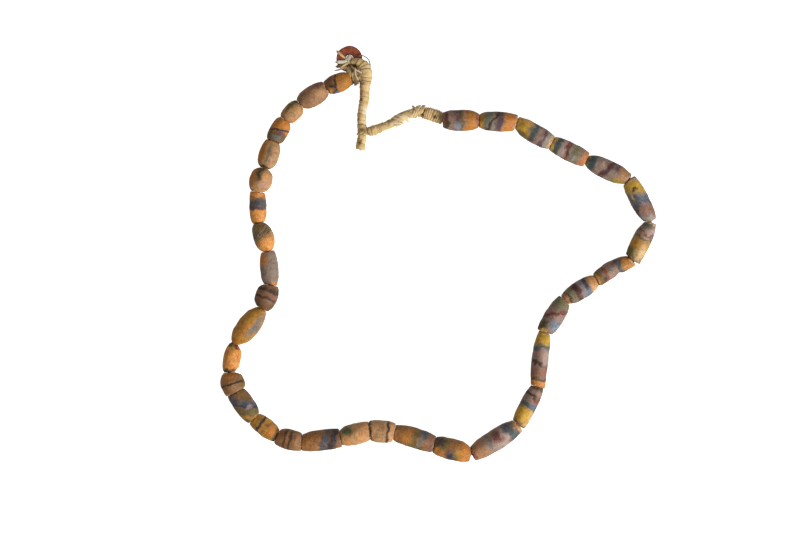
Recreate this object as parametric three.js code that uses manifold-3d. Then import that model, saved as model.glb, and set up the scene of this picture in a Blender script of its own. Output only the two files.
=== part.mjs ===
// A closed strand of handmade powder-glass barrel beads on a raffia thread, lying on a flat surface.
// Its ends meet in two short wrapped cords, beside a flat button bead that is lashed to the first bead.
// Millimetres, +Z up. The strand lies round the Z axis, and every piece rests on z = 0.

import * as THREE from "three";
import { mergeVertices } from "three/addons/utils/BufferGeometryUtils.js";
import Module from "manifold-3d";

// The gap between pieces that touch on the real strand
const CLEARANCE = 0.3;

// Beads: the sizes that the shares in BEAD_ROWS multiply
const BEAD_LENGTH = 16;
const BEAD_GIRTH = 10;
const BEAD_MOUTH = 7;
const BORE_DIAMETER = 2.9;
const BEAD_SIDES = 12;

// How far the flat end of a bead reaches from its bore towards the width of its mouth
const FACE_SHARE = 0.6;

// The thread through the bores
const THREAD_DIAMETER = 1.3;
const THREAD_SIDES = 8;

// The button bead
const BUTTON_DIAMETER = 13;
const BUTTON_THICKNESS = 3.2;
const BUTTON_HOLE = 4.2;
const BUTTON_EDGE = 0.7;
const BUTTON_SIDES = 24;
const BUTTON_BEHIND = 2.8;

// The knot that stands in the button's hole
const KNOT_HEAD = 4.6;
const KNOT_HEIGHT = 1.6;
const KNOT_SIDES = 10;

// The knot's head above its seat: shares of its diameter and of its height
const KNOT_OUTLINE = [
  { width: 1, height: 0.25 },
  { width: 0.8, height: 0.8 },
];

// The lashing that ties button, cord and thread together
const LASHING_LENGTH = 9.4;
const LASHING_WIDTH = 7.6;
const LASHING_HEIGHT = 7.8;
const LASHING_STRAND = 1.6;
const LASHING_ASIDE = 0.9;
const LASHING_SIDES = 14;
const LASHING_BANDS = 8;
const STRAND_SIDES = 6;

// The two wrapped cords and the collars bound round them
const LEFT_CORD_DIAMETER = 4.8;
const LEFT_CORD_ASIDE = 1.5;
const LEFT_CORD_STEPS = 12;
const RIGHT_CORD_DIAMETER = 4.5;
const RIGHT_CORD_STEPS = 14;
const CORD_SIDES = 10;
const COLLAR_SIDES = 12;
const WHIPPING_LENGTH = 8.4;
const WHIPPING_DIAMETER = 6.5;
const WHIPPING_TURNS = 5;
const WHIPPING_HEADING = 163;
const WHIPPING_ASIDE = 1.2;
const JUNCTION_LENGTH = 4.4;
const JUNCTION_DIAMETER = 5;
const JUNCTION_TURNS = 3;
const COIL_LENGTH = 2.6;
const COIL_WALL = 0.9;
const COIL_TURNS = 2;
const CROSSING_LENGTH = 3.8;
const CROSSING_WALL = 1.1;
const CROSSING_TURNS = 2;
const KNOT_BORE = RIGHT_CORD_DIAMETER + 5 * CLEARANCE;
const TURN_RELIEF = 0.25;

// A cord's bent end stands this far from the collar that it enters, so that its rim stays clear
const CORD_END_GAP = 0.9;

// Where along the right cord its two knots sit, as shares of its run
const COIL_PLACE = 0.44;
const CROSSING_PLACE = 0.83;

// Where along the left cord the right cord joins it, as a share of its run
const JUNCTION_PLACE = 0.735;

// The beads in order from the button: shares of the sizes above, a heading in degrees and the main glass
const BEAD_COLUMNS = ["length", "girth", "mouthIn", "mouthOut", "heading", "bow", "glass"];
const BEAD_ROWS = [
  [0.82, 0.93, 0.71, 0.93, 202, 0, "amber"],
  [0.9, 1.03, 1.0, 0.84, 212, 0, "mauve"],
  [0.62, 0.9, 0.79, 0.89, 227, 0, "amber"],
  [0.7, 0.93, 0.93, 1.04, 241, 0, "amber"],
  [0.84, 1.0, 0.96, 0.79, 252, 0, "amber"],
  [0.72, 1.13, 0.64, 0.93, 253, 0, "amber"],
  [0.9, 0.84, 1.0, 0.86, 272, 0, "amber"],
  [0.87, 1.0, 0.79, 0.71, 288, 0.03, "olive"],
  [0.99, 0.9, 0.93, 0.93, 275, 0, "amber"],
  [0.7, 1.1, 1.14, 0.89, 250, 0, "mauve"],
  [1.31, 1.1, 0.71, 0.58, 232, 0, "amber"],
  [0.82, 0.88, 0.64, 0.79, 259, 0, "amber"],
  [0.56, 1.18, 0.93, 1.4, 288, 0, "mauve"],
  [0.92, 1.02, 1.3, 1.0, 305, 0, "mauve"],
  [0.82, 0.9, 1.0, 0.89, 322, 0, "amber"],
  [0.71, 1.0, 1.04, 1.21, 346, 0, "mauve"],
  [1.15, 1.03, 1.14, 1.3, 7, 0, "amber"],
  [0.86, 1.05, 1.07, 1.3, 14, 0, "amber"],
  [0.7, 1.1, 1.33, 1.29, 356, 0, "mauve"],
  [1.25, 1.0, 1.07, 1.18, 343, 0.03, "amber"],
  [1.1, 1.05, 1.11, 1.07, 345, 0, "amber"],
  [1.58, 1.03, 1.04, 1.03, 32, -0.03, "grey"],
  [1.24, 0.85, 1.04, 0.89, 63, 0, "yellow"],
  [1.63, 0.83, 1.0, 0.79, 83, 0.05, "grey"],
  [1.09, 0.98, 1.1, 1.0, 58, 0, "grey"],
  [1.11, 0.93, 0.79, 0.84, 32, 0, "grey"],
  [1.2, 0.82, 1.0, 0.86, 29, 0.1, "grey"],
  [1.18, 0.93, 1.21, 0.86, 64, 0, "yellow"],
  [1.33, 0.94, 0.86, 1.04, 118, 0, "yellow"],
  [1.37, 0.96, 0.88, 0.71, 155, 0, "grey"],
  [1.18, 0.93, 1.06, 1.0, 154, 0, "grey"],
  [1.2, 0.95, 1.0, 0.86, 150, 0.03, "yellow"],
  [1.11, 0.97, 1.11, 0.96, 177, 0, "olive"],
  [1.12, 1.04, 1.0, 1.07, 179, 0, "grey"],
];

// A bead's outline: shares of its length, and how much of the swell from mouth to girth is reached there
const BEAD_MIDDLE = 0.5;
const OUTLINE = [
  { along: 0.06, swell: 0.25 },
  { along: 0.22, swell: 0.8 },
  { along: BEAD_MIDDLE, swell: 1 },
  { along: 0.78, swell: 0.8 },
  { along: 0.94, swell: 0.25 },
];

// The wound strands of the lashing: place along it, size and lean of each turn
const LASHING_TURNS = [
  { along: -0.52, size: 0.88, lean: 24 },
  { along: -0.02, size: 1.0, lean: -20 },
  { along: 0.46, size: 0.9, lean: 14 },
];

// The left cord's route from the lashing, in millimetres
const LEFT_CORD_ROUTE = [
  [0, 0],
  [0, -6],
  [-0.8, -11],
  [-1.6, -16],
  [-1.3, -20.5],
  [-1.1, -24],
  [-1.6, -28],
  [-2.2, -32],
];

// The right cord's route from the left cord to the whipping, as shares of that span, along and across it
const RIGHT_CORD_ROUTE = [
  [0, 0],
  [0.17, 0],
  [0.29, 0.01],
  [0.4, 0.02],
  [0.52, 0.055],
  [0.63, 0.068],
  [0.74, 0.061],
  [0.84, 0.06],
  [0.93, 0.038],
  [1, 0],
];

const radians = THREE.MathUtils.degToRad;
const wasm = await Module();
wasm.setup();

// Materials

function matte(color, roughness) {
  return new THREE.MeshStandardMaterial({ color, roughness, metalness: 0 });
}

const raffia = matte(0xc8aa6e, 0.85);
const darkRaffia = matte(0x96793c, 0.9);
const buttonClay = matte(0x8c4128, 0.6);
const powderGlass = {
  amber: matte(0xb4781e, 0.7),
  mauve: matte(0x96735f, 0.7),
  grey: matte(0x7c746e, 0.7),
  yellow: matte(0xbe961e, 0.7),
  olive: matte(0x78704a, 0.7),
};

// Shared geometry

// A section of straight sides holds as much as the round one when its corners lie this much further out
function cornerFactor(sides) {
  const turn = (2 * Math.PI) / sides;
  return Math.sqrt(turn / Math.sin(turn));
}

// A closed profile of [radius, along] pairs turned round +X, with a flat side facing down
function turned(profile, sides) {
  const factor = cornerFactor(sides);
  const points = profile.map(([radius, along]) => new THREE.Vector2(radius * factor, along));
  if (profile[0][0] > 0) {
    points.push(points[0].clone());
  }
  const geometry = new THREE.LatheGeometry(points, sides, Math.PI / sides);
  return geometry.rotateZ(-Math.PI / 2);
}

// The corners of a regular section, with a flat side facing down
function regularSection(diameter, sides) {
  const radius = (diameter / 2) * cornerFactor(sides);
  const corners = Array.from({ length: sides }, (_, at) => {
    const angle = ((at + 0.5) * 2 * Math.PI) / sides;
    return new THREE.Vector2(radius * Math.cos(angle), radius * Math.sin(angle));
  });
  return new THREE.Shape(corners);
}

// A path of straight runs, with one section at each of its points
class StraightRuns extends THREE.Curve {
  constructor(points) {
    super();
    this.points = points;
  }

  getPoint(t, target = new THREE.Vector3()) {
    const place = t * (this.points.length - 1);
    const from = Math.min(Math.floor(place), this.points.length - 2);
    return target.lerpVectors(this.points[from], this.points[from + 1], place - from);
  }

  getTangent(t, target = new THREE.Vector3()) {
    const last = this.points.length - 1;
    const nearest = Math.round(t * last);
    const before = this.points[Math.max(nearest - 1, 0)];
    const here = this.points[nearest];
    const after = this.points[Math.min(nearest + 1, last)];
    const arriving = here.clone().sub(before).normalize();
    const leaving = after.clone().sub(here).normalize();
    return target.addVectors(arriving, leaving).normalize();
  }

  getUtoTmapping(u) {
    return u;
  }
}

function tube(path, diameter, sides, steps) {
  return new THREE.ExtrudeGeometry(regularSection(diameter, sides), {
    steps,
    extrudePath: path,
    bevelEnabled: false,
  });
}

// Several closed geometries joined into one
function joined(geometries) {
  const solids = geometries.map((geometry) => {
    const bare = geometry.clone();
    bare.deleteAttribute("normal");
    bare.deleteAttribute("uv");
    const merged = mergeVertices(bare, 1e-4);
    return new wasm.Manifold(
      new wasm.Mesh({
        numProp: 3,
        vertProperties: new Float32Array(merged.attributes.position.array),
        triVerts: new Uint32Array(merged.index.array),
      }),
    );
  });
  const whole = solids.reduce((sum, solid) => sum.add(solid)).getMesh();
  const geometry = new THREE.BufferGeometry();
  geometry.setAttribute("position", new THREE.BufferAttribute(whole.vertProperties, 3));
  geometry.setIndex(new THREE.BufferAttribute(whole.triVerts, 1));
  return geometry;
}

// A named mesh whose local +X points along a heading and leans up by a tilt
function piece(name, geometry, material, heading = 0, tilt = 0) {
  const mesh = new THREE.Mesh(geometry, material);
  mesh.name = name;
  mesh.rotation.set(0, -tilt, heading, "ZYX");
  return mesh;
}

// Moves a piece up or down until its lowest point lies on the surface
function rest(mesh) {
  mesh.updateMatrixWorld(true);
  mesh.position.z -= new THREE.Box3().setFromObject(mesh, true).min.z;
  return mesh;
}

// Beads

function beadProfile(bead) {
  const half = bead.length / 2;
  const bore = BORE_DIAMETER / 2;
  const face = (mouth) => bore + FACE_SHARE * (mouth / 2 - bore);
  const middle = OUTLINE.map(({ along, swell }) => {
    const mouth = along < BEAD_MIDDLE ? bead.mouthIn : bead.mouthOut;
    return [(mouth + swell * (bead.girth - mouth)) / 2, (along - BEAD_MIDDLE) * bead.length];
  });
  return [[bore, -half], [face(bead.mouthIn), -half], ...middle, [face(bead.mouthOut), half], [bore, half]];
}

// The outside of a bead may bow to its left, while its bore stays straight
function beadGeometry(bead) {
  const geometry = turned(beadProfile(bead), BEAD_SIDES);
  const position = geometry.attributes.position;
  for (let at = 0; at < position.count; at += 1) {
    const along = position.getX(at) / bead.length;
    const reach = Math.hypot(position.getY(at), position.getZ(at));
    if (reach > BORE_DIAMETER) {
      position.setY(at, position.getY(at) + bead.bow * Math.cos(Math.PI * along));
    }
  }
  return geometry;
}

// How far an end must stay from the joint, so that it clears the plane that halves the bend there
function setBack(bead, end, bend) {
  const slope = Math.tan(bend / 2);
  const reaches = beadProfile(bead).map(([radius, along]) => {
    const inset = bead.length / 2 - end * along;
    return radius * cornerFactor(BEAD_SIDES) * slope - inset;
  });
  return Math.max(...reaches) + CLEARANCE / 2;
}

function measuredBeads() {
  const beads = BEAD_ROWS.map((row) => {
    const share = Object.fromEntries(BEAD_COLUMNS.map((column, at) => [column, row[at]]));
    return {
      length: share.length * BEAD_LENGTH,
      girth: share.girth * BEAD_GIRTH,
      mouthIn: share.mouthIn * BEAD_MOUTH,
      mouthOut: share.mouthOut * BEAD_MOUTH,
      heading: radians(share.heading),
      bow: share.bow * BEAD_GIRTH,
      glass: powderGlass[share.glass],
    };
  });
  beads.forEach((bead, at) => {
    const before = beads[Math.max(at - 1, 0)];
    const after = beads[Math.min(at + 1, beads.length - 1)];
    bead.tilt = Math.asin((after.girth - before.girth) / 4 / bead.length);
    bead.forward = new THREE.Vector3(
      Math.cos(bead.tilt) * Math.cos(bead.heading),
      Math.cos(bead.tilt) * Math.sin(bead.heading),
      Math.sin(bead.tilt),
    );
  });
  return beads;
}

// Lays the beads one after the other, and notes the middle of each gap for the thread
function strungBeads() {
  const beads = measuredBeads();
  const place = new THREE.Vector3();
  beads.forEach((bead, at) => {
    const bendIn = at > 0 ? beads[at - 1].forward.angleTo(bead.forward) : 0;
    const bendOut = at < beads.length - 1 ? bead.forward.angleTo(beads[at + 1].forward) : 0;
    const flat = new THREE.Vector3(Math.cos(bead.heading), Math.sin(bead.heading), 0);
    const reach = (bead.length / 2) * Math.cos(bead.tilt);
    place.addScaledVector(flat, setBack(bead, -1, bendIn) + reach);
    const name = `bead_${String(at + 1).padStart(2, "0")}`;
    bead.mesh = piece(name, beadGeometry(bead), bead.glass, bead.heading, bead.tilt);
    bead.mesh.position.copy(place);
    rest(bead.mesh);
    place.addScaledVector(flat, reach + setBack(bead, 1, bendOut));
  });
  return beads;
}

function endOf(bead, end) {
  return bead.mesh.position.clone().addScaledVector(bead.forward, (end * bead.length) / 2);
}

// Thread

// How far the whipping's end stands from the last bead, so that its leaning rim stays clear
function whippingGap(last) {
  const bend = Math.abs(radians(WHIPPING_HEADING) - last.heading);
  return CLEARANCE + (WHIPPING_DIAMETER / 2) * Math.sin(bend);
}

function threadMesh(beads) {
  const first = beads[0];
  const last = beads[beads.length - 1];
  const joints = beads.slice(1).map((bead, at) => {
    const before = endOf(beads[at], 1);
    return before.lerp(endOf(bead, -1), 0.5);
  });
  const start = endOf(first, -1).addScaledVector(first.forward, -CLEARANCE);
  const finish = endOf(last, 1).addScaledVector(last.forward, whippingGap(last) - 2 * CLEARANCE);
  const points = [start, ...joints, finish];
  const geometry = tube(new StraightRuns(points), THREAD_DIAMETER, THREAD_SIDES, points.length - 1);
  return piece("thread", geometry, raffia);
}

// Button and lashing, both placed by the open end of the first bead

function buttonMesh(first) {
  const radius = BUTTON_DIAMETER / 2;
  const top = BUTTON_THICKNESS;
  const profile = [
    [BUTTON_HOLE / 2, 0],
    [radius - BUTTON_EDGE, 0],
    [radius, BUTTON_EDGE],
    [radius, top - BUTTON_EDGE],
    [radius - BUTTON_EDGE, top],
    [BUTTON_HOLE / 2 + BUTTON_EDGE, top],
    [BUTTON_HOLE / 2, top - BUTTON_EDGE],
  ];
  const geometry = turned(profile, BUTTON_SIDES).rotateY(-Math.PI / 2);
  const mesh = piece("button_bead", geometry, buttonClay, first.heading);
  const right = new THREE.Vector3(Math.sin(first.heading), -Math.cos(first.heading), 0);
  mesh.position.copy(endOf(first, -1));
  mesh.position.addScaledVector(first.forward, -BUTTON_BEHIND);
  mesh.position.addScaledVector(right, radius + CLEARANCE + first.mouthIn / 2);
  return rest(mesh);
}

function buttonKnotMesh(button) {
  const stem = BUTTON_HOLE / 2 - CLEARANCE;
  const seat = BUTTON_THICKNESS + CLEARANCE;
  const profile = [
    [0, 0],
    [stem, 0],
    [stem, seat],
    ...KNOT_OUTLINE.map(({ width, height }) => [(width * KNOT_HEAD) / 2, seat + height * KNOT_HEIGHT]),
    [0, seat + KNOT_HEIGHT],
  ];
  const geometry = turned(profile, KNOT_SIDES).rotateY(-Math.PI / 2);
  const mesh = piece("button_knot", geometry, raffia);
  mesh.position.copy(button.position);
  return rest(mesh);
}

function lashingMesh(first) {
  const core = new THREE.SphereGeometry(0.5, LASHING_SIDES, LASHING_BANDS);
  core.scale(LASHING_LENGTH, LASHING_WIDTH, LASHING_HEIGHT);
  const turns = LASHING_TURNS.map(({ along, size, lean }) => {
    const strand = LASHING_STRAND / 2 / LASHING_WIDTH;
    const ring = new THREE.TorusGeometry(size / 2, strand, STRAND_SIDES, LASHING_SIDES);
    ring.rotateY(Math.PI / 2);
    ring.scale(LASHING_WIDTH, LASHING_WIDTH, LASHING_HEIGHT);
    ring.rotateZ(radians(lean));
    ring.translate((along * LASHING_LENGTH) / 2, 0, 0);
    return ring;
  });
  const mesh = piece("lashing", joined([core, ...turns]), darkRaffia, first.heading);
  const left = new THREE.Vector3(-Math.sin(first.heading), Math.cos(first.heading), 0);
  mesh.position.copy(endOf(first, -1));
  mesh.position.addScaledVector(first.forward, -LASHING_LENGTH / 2 - 2 * CLEARANCE);
  mesh.position.addScaledVector(left, LASHING_ASIDE);
  return rest(mesh);
}

// Wrapped cords

// A bound collar along +X: turns of strand round a core, or round an open bore
function collarGeometry(length, diameter, turns, bore) {
  const crests = [];
  for (let at = 0; at <= 2 * turns; at += 1) {
    const relief = at % 2 ? 0 : TURN_RELIEF;
    crests.push([diameter / 2 - relief, (at / (2 * turns) - 0.5) * length]);
  }
  return turned([[bore / 2, -length / 2], ...crests, [bore / 2, length / 2]], COLLAR_SIDES);
}

function cordMesh(name, points, diameter, steps) {
  const path = new THREE.CatmullRomCurve3(points, false, "centripetal");
  const mesh = piece(name, tube(path, diameter, CORD_SIDES, steps), raffia);
  mesh.userData.path = path;
  return mesh;
}

function leftCordMesh(lashing) {
  const box = new THREE.Box3().setFromObject(lashing, true);
  const top = new THREE.Vector3(lashing.position.x + LEFT_CORD_ASIDE, box.min.y - CLEARANCE, 0);
  const points = LEFT_CORD_ROUTE.map(([x, y]) => top.clone().add(new THREE.Vector3(x, y, 0)));
  return rest(cordMesh("left_wrapped_cord", points, LEFT_CORD_DIAMETER, LEFT_CORD_STEPS));
}

function whippingMesh(last) {
  const heading = radians(WHIPPING_HEADING);
  const geometry = collarGeometry(WHIPPING_LENGTH, WHIPPING_DIAMETER, WHIPPING_TURNS, 0);
  const mesh = piece("end_whipping", geometry, raffia, heading);
  const outward = new THREE.Vector3(last.forward.y, -last.forward.x, 0);
  mesh.position.copy(endOf(last, 1)).addScaledVector(last.forward, whippingGap(last));
  mesh.position.addScaledVector(outward, WHIPPING_ASIDE);
  mesh.position.x += (WHIPPING_LENGTH / 2) * Math.cos(heading);
  mesh.position.y += (WHIPPING_LENGTH / 2) * Math.sin(heading);
  return rest(mesh);
}

function junctionMesh(leftCord, whipping) {
  const joint = leftCord.userData.path.getPointAt(JUNCTION_PLACE);
  const toWhipping = whipping.position.clone().sub(joint).setZ(0).normalize();
  const heading = Math.atan2(toWhipping.y, toWhipping.x);
  const geometry = collarGeometry(JUNCTION_LENGTH, JUNCTION_DIAMETER, JUNCTION_TURNS, 0);
  const mesh = piece("junction_collar", geometry, raffia, heading);
  const lean = (JUNCTION_DIAMETER / 2) * Math.abs(toWhipping.y);
  const reach = LEFT_CORD_DIAMETER / 2 + lean + CLEARANCE + JUNCTION_LENGTH / 2;
  mesh.position.copy(joint).addScaledVector(toWhipping, reach);
  return rest(mesh);
}

// The right cord lies on the knots and collars bound round it, so its axis is as high as they are thick
function rightCordHeight(along) {
  const stops = [
    [0, JUNCTION_DIAMETER / 2],
    [COIL_PLACE, KNOT_BORE / 2 + COIL_WALL + CLEARANCE / 2],
    [CROSSING_PLACE, KNOT_BORE / 2 + CROSSING_WALL + CLEARANCE / 2],
    [1, WHIPPING_DIAMETER / 2],
  ];
  const next = Math.max(stops.findIndex(([place]) => place >= along), 1);
  const [[from, low], [to, high]] = [stops[next - 1], stops[next]];
  return THREE.MathUtils.mapLinear(along, from, to, low, high);
}

function rightCordMesh(junction, whipping) {
  const out = new THREE.Vector3(1, 0, 0).applyEuler(junction.rotation);
  const away = new THREE.Vector3(1, 0, 0).applyEuler(whipping.rotation);
  const from = junction.position.clone().addScaledVector(out, JUNCTION_LENGTH / 2 + CORD_END_GAP);
  const to = whipping.position.clone().addScaledVector(away, WHIPPING_LENGTH / 2 + CORD_END_GAP);
  const span = to.sub(from).setZ(0);
  const across = new THREE.Vector3(-span.y, span.x, 0);
  const points = RIGHT_CORD_ROUTE.map(([along, aside]) => {
    const point = from.clone().addScaledVector(span, along).addScaledVector(across, aside);
    return point.setZ(rightCordHeight(along));
  });
  return cordMesh("right_wrapped_cord", points, RIGHT_CORD_DIAMETER, RIGHT_CORD_STEPS);
}

// A knot bound round the right cord, at a share of its run
function cordKnotMesh(name, rightCord, place, length, wall, turns) {
  const geometry = collarGeometry(length, KNOT_BORE + 2 * wall, turns, KNOT_BORE);
  const tangent = rightCord.userData.path.getTangentAt(place);
  const mesh = piece(name, geometry, darkRaffia, Math.atan2(tangent.y, tangent.x), Math.asin(tangent.z));
  mesh.position.copy(rightCord.userData.path.getPointAt(place));
  return mesh;
}

// The whole strand, centred on its beads, button and lashing

function necklace() {
  const beads = strungBeads();
  const first = beads[0];
  const last = beads[beads.length - 1];
  const button = buttonMesh(first);
  const lashing = lashingMesh(first);
  const leftCord = leftCordMesh(lashing);
  const whipping = whippingMesh(last);
  const junction = junctionMesh(leftCord, whipping);
  const rightCord = rightCordMesh(junction, whipping);
  const strand = new THREE.Group();
  strand.add(...beads.map((bead) => bead.mesh), threadMesh(beads));
  strand.add(button, buttonKnotMesh(button), lashing);
  const middle = new THREE.Box3().setFromObject(strand, true).getCenter(new THREE.Vector3());
  strand.add(leftCord, whipping, junction, rightCord);
  strand.add(cordKnotMesh("coil_knot", rightCord, COIL_PLACE, COIL_LENGTH, COIL_WALL, COIL_TURNS));
  strand.add(
    cordKnotMesh("crossing_knot", rightCord, CROSSING_PLACE, CROSSING_LENGTH, CROSSING_WALL, CROSSING_TURNS),
  );
  strand.position.set(-middle.x, -middle.y, 0);
  const whole = new THREE.Group();
  whole.add(strand);
  return whole;
}

export default necklace();
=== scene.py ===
# A closed strand of handmade powder-glass barrel beads on raffia, lying loose on a pale surface.
# The strand's ends meet in two short wrapped cords, beside a flat button bead lashed to the first bead.

import math
import random

import bpy
import numpy as np
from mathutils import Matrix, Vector, noise


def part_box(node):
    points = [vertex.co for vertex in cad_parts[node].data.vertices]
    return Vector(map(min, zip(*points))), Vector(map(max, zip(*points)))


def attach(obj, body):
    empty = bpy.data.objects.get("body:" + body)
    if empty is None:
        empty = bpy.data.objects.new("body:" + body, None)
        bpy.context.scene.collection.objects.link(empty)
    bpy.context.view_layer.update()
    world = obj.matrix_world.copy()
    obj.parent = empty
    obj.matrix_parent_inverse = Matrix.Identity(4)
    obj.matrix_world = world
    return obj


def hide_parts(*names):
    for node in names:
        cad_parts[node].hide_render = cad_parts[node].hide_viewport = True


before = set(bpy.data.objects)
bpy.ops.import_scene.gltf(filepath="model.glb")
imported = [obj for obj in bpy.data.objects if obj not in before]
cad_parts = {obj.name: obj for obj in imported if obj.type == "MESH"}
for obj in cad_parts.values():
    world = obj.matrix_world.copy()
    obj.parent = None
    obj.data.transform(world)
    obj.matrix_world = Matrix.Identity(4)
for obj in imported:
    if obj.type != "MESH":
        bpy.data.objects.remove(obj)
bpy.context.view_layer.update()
MM = 0.001
UP = np.array((0.0, 0.0, 1.0))

# The camera looks straight down at this point, from this height, on a field this wide
VIEW_CENTRE = (-18.85 * MM, -6.6 * MM)
VIEW_HEIGHT = 1.3
VIEW_WIDTH = 0.4
SENSOR_WIDTH = 36.0

# Bead meshes: rings, points round each ring, and the bore with its flare at the lips
BEAD_RINGS = 96
BEAD_SPOKES = 72
BORE_RADIUS = 1.45 * MM
BORE_MARGIN = 1.15
BORE_DEPTH = 1.0 * MM
BORE_FLARE = 1.05
FLOOR_GAP = 0.02 * MM

# How deep a bead's end face reaches in its solid, and the spans of its length that hold one ring each
FACE_DEPTH = 0.37 * MM
FACE_SPAN = 0.02
LIP_SWELL = 0.25
LIP_ROUND = 0.3 * MM
STATION_SPANS = ((0.03, 0.1), (0.15, 0.3), (0.4, 0.6), (0.7, 0.85), (0.9, 0.97))

# A bead's skin: how wide its bumps are, how high they stand in millimetres, and how its lips are chipped
BUMP_SIZES = (3.4 * MM, 1.2 * MM, 0.5 * MM)
BUMP_HEIGHTS = (0.2, 0.09, 0.04)
LIP_SPAN = 0.1
CHIP_SIZE = 1.9 * MM
CHIP_START = 0.12
CHIP_DEPTH = 0.6
LIP_WANDER = 0.2
LIP_CHIP = 0.35

# Beads with a notch: its share along, its side, its length as a share and its depth in millimetres
NOTCHES = {27: (0.6, -1.0, 0.07, 0.9)}
NOTCH_WIDTH = 0.5

# Neighbouring beads lean their ends to meet: half the gap between them, how far an end may be drawn out
# and the share of a bead's length that leans with its end
HALF_JOINT = 0.05 * MM
LONGEST_REACH = 1.3 * MM
LEAN_SPAN = 0.25

# Light and floor
WHITE = (1.0, 1.0, 1.0, 1.0)
WORLD_COLOUR = (1.0, 0.97, 0.9, 1.0)
WORLD_LIGHT = 0.24
KEY_PLACE = (0.85, -0.6, 0.75)
KEY_SIZE = 0.6
KEY_POWER = 16.5
KEY_COLOUR = (1.0, 0.98, 0.92)
FILL_PLACE = (-0.5, 0.5, 1.3)
FILL_SIZE = 1.2
FILL_POWER = 1.0
FILL_COLOUR = (1.0, 1.0, 1.0)
FLOOR_GLOW = 1.0
FLOOR_WIDTH = 6.0
FLOOR_GRAIN = 60.0
FLOOR_ROUGHNESS = 0.9
FLOOR_GREYS = ((0.83, 0.83, 0.83, 1.0), (0.85, 0.85, 0.85, 1.0))

# How melted glass flows: its reach along and round a bead, and the fine flow laid over the broad one
NOISE_MIDDLE = (0.5, 0.5, 0.5)
FLOW_REACH = (0.2, 0.7, 0.0)
FINE_FLOW_SCALE = 4.5
FINE_FLOW_SHARE = (0.4, 0.4, 0.4)

# Noise in the finishes: turns to the metre, and how it is stretched along beads and strands
STREAK_SCALE = 260.0
CLOUD_SCALE = 420.0
PIT_SCALE = 1500.0
DUST_SCALE = 700.0
WEAR_SCALE = 900.0
BLOTCH_SCALE = 380.0
CLAY_CLOUD_SCALE = 300.0
BAND_STRETCH = (9.0, 1.6, 1.6)
FIBRE_STRETCH = (0.5, 1.0, 1.0)

# How strongly each mark shows
CLOUD_SHADES = (0.84, 1.16)
CLOUD_ROUGHNESS = (-0.1, 0.14)
PIT_DARKENING = 0.35
PIT_DEPTH = 0.8
PIT_ROUGHNESS = 0.12
RUBBED_SHARE = 0.45
DIRT_START = 0.47
DIRT_SHARE = 0.7
DARK_BAND_SHARE = 0.3
PALE_BAND_SHARE = 0.2
GLASS_DUST = 0.06
CLAY_DUST = 0.4
WORN_SHARE = 0.35
STAIN_AND_SHADE_SHARE = 0.9
DARKEST_TONE = 1.5
PALEST_TONE = -1.2

# Raffia meshes: how far apart a route's points are, the steps of a turn, how far turns swell and shrink, and
# what a tapered tip keeps of its width
FINE_STEP = 0.3 * MM
CORD_STEP = 0.5 * MM
WRAP_STEP = 0.15 * MM
THREAD_STEP = 0.45 * MM
FEWEST_STEPS = 12
WOUND_STEPS = 18
LOOP_STEPS = 30
WOUND_SWELL = 0.08
LOOP_SWELL = 0.05
TIP_WIDTH = 0.15
WRAP_SPOKES = 48
CORE_SPOKES = 20

# Cords
LEFT_CORD_DIAMETER = 4.8 * MM
RIGHT_CORD_DIAMETER = 4.5 * MM
CORE_SHARE = 0.4
CORE_LOBES = 3
LOBE_HEIGHT = 0.1
LOBE_TURN = 0.45
CORE_ROUGHNESS = 0.08
THREAD_PLY = 1.25 * MM
THREAD_TURN = 1.6

# The button and the lashing
BUTTON_HOLE = 4.2 * MM
BUTTON_SPOKES = 96
BUTTON_REACH = 6.3 * MM
BUTTON_EDGE = 0.7 * MM
BUTTON_SWELL = 0.035
LASHING_SHIFT = np.array((-2.7, -0.2, 0.0)) * MM
LASHING_LENGTH = 9.2 * MM
LASHING_WIDTH = 8.0 * MM
LASHING_CORE_HEIGHT = 0.72
LASHING_CORE_RINGS = 16
DRAPE_REACH = 3

# Colours of the glass, clay and raffia, as the eye sees them from 0 to 255
COLOURS = {
    "amber": (190, 122, 44),
    "orange": (206, 130, 52),
    "bright orange": (238, 160, 78),
    "warm brown": (152, 102, 54),
    "coral": (200, 124, 78),
    "peach": (218, 156, 100),
    "tan": (196, 150, 104),
    "tan brown": (168, 122, 84),
    "ochre": (190, 136, 44),
    "gold": (200, 156, 48),
    "cream": (208, 176, 128),
    "mauve": (152, 120, 107),
    "mauve brown": (140, 98, 78),
    "pink": (196, 146, 132),
    "pink grey": (172, 148, 140),
    "lilac": (148, 132, 142),
    "grey": (122, 114, 108),
    "warm grey": (142, 127, 116),
    "white grey": (156, 146, 140),
    "pale blue": (134, 140, 154),
    "steel": (98, 116, 138),
    "slate": (80, 84, 92),
    "navy": (52, 56, 74),
    "teal": (64, 84, 88),
    "green grey": (104, 112, 96),
    "green": (72, 88, 56),
    "grey olive": (120, 114, 84),
    "olive yellow": (158, 138, 46),
    "olive brown": (118, 92, 44),
    "olive": (108, 96, 44),
    "dark olive": (68, 62, 36),
    "purple": (94, 70, 80),
    "purple black": (50, 40, 48),
    "dark red": (112, 52, 50),
    "maroon": (78, 38, 40),
    "red brown": (136, 70, 48),
    "brown": (120, 82, 52),
    "dark brown": (66, 46, 36),
    "black brown": (42, 34, 30),
    "clay": (176, 84, 54),
    "dark clay": (134, 58, 38),
    "pale clay": (190, 128, 100),
    "raffia": (226, 188, 124),
    "pale raffia": (252, 222, 166),
    "dark raffia": (178, 138, 78),
    "raffia shadow": (140, 100, 52),
    "raffia stain and shade": (78, 48, 32),
    "raffia white": (244, 234, 214),
    "thread": (206, 160, 84),
    "filament": (120, 116, 110),
}
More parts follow.
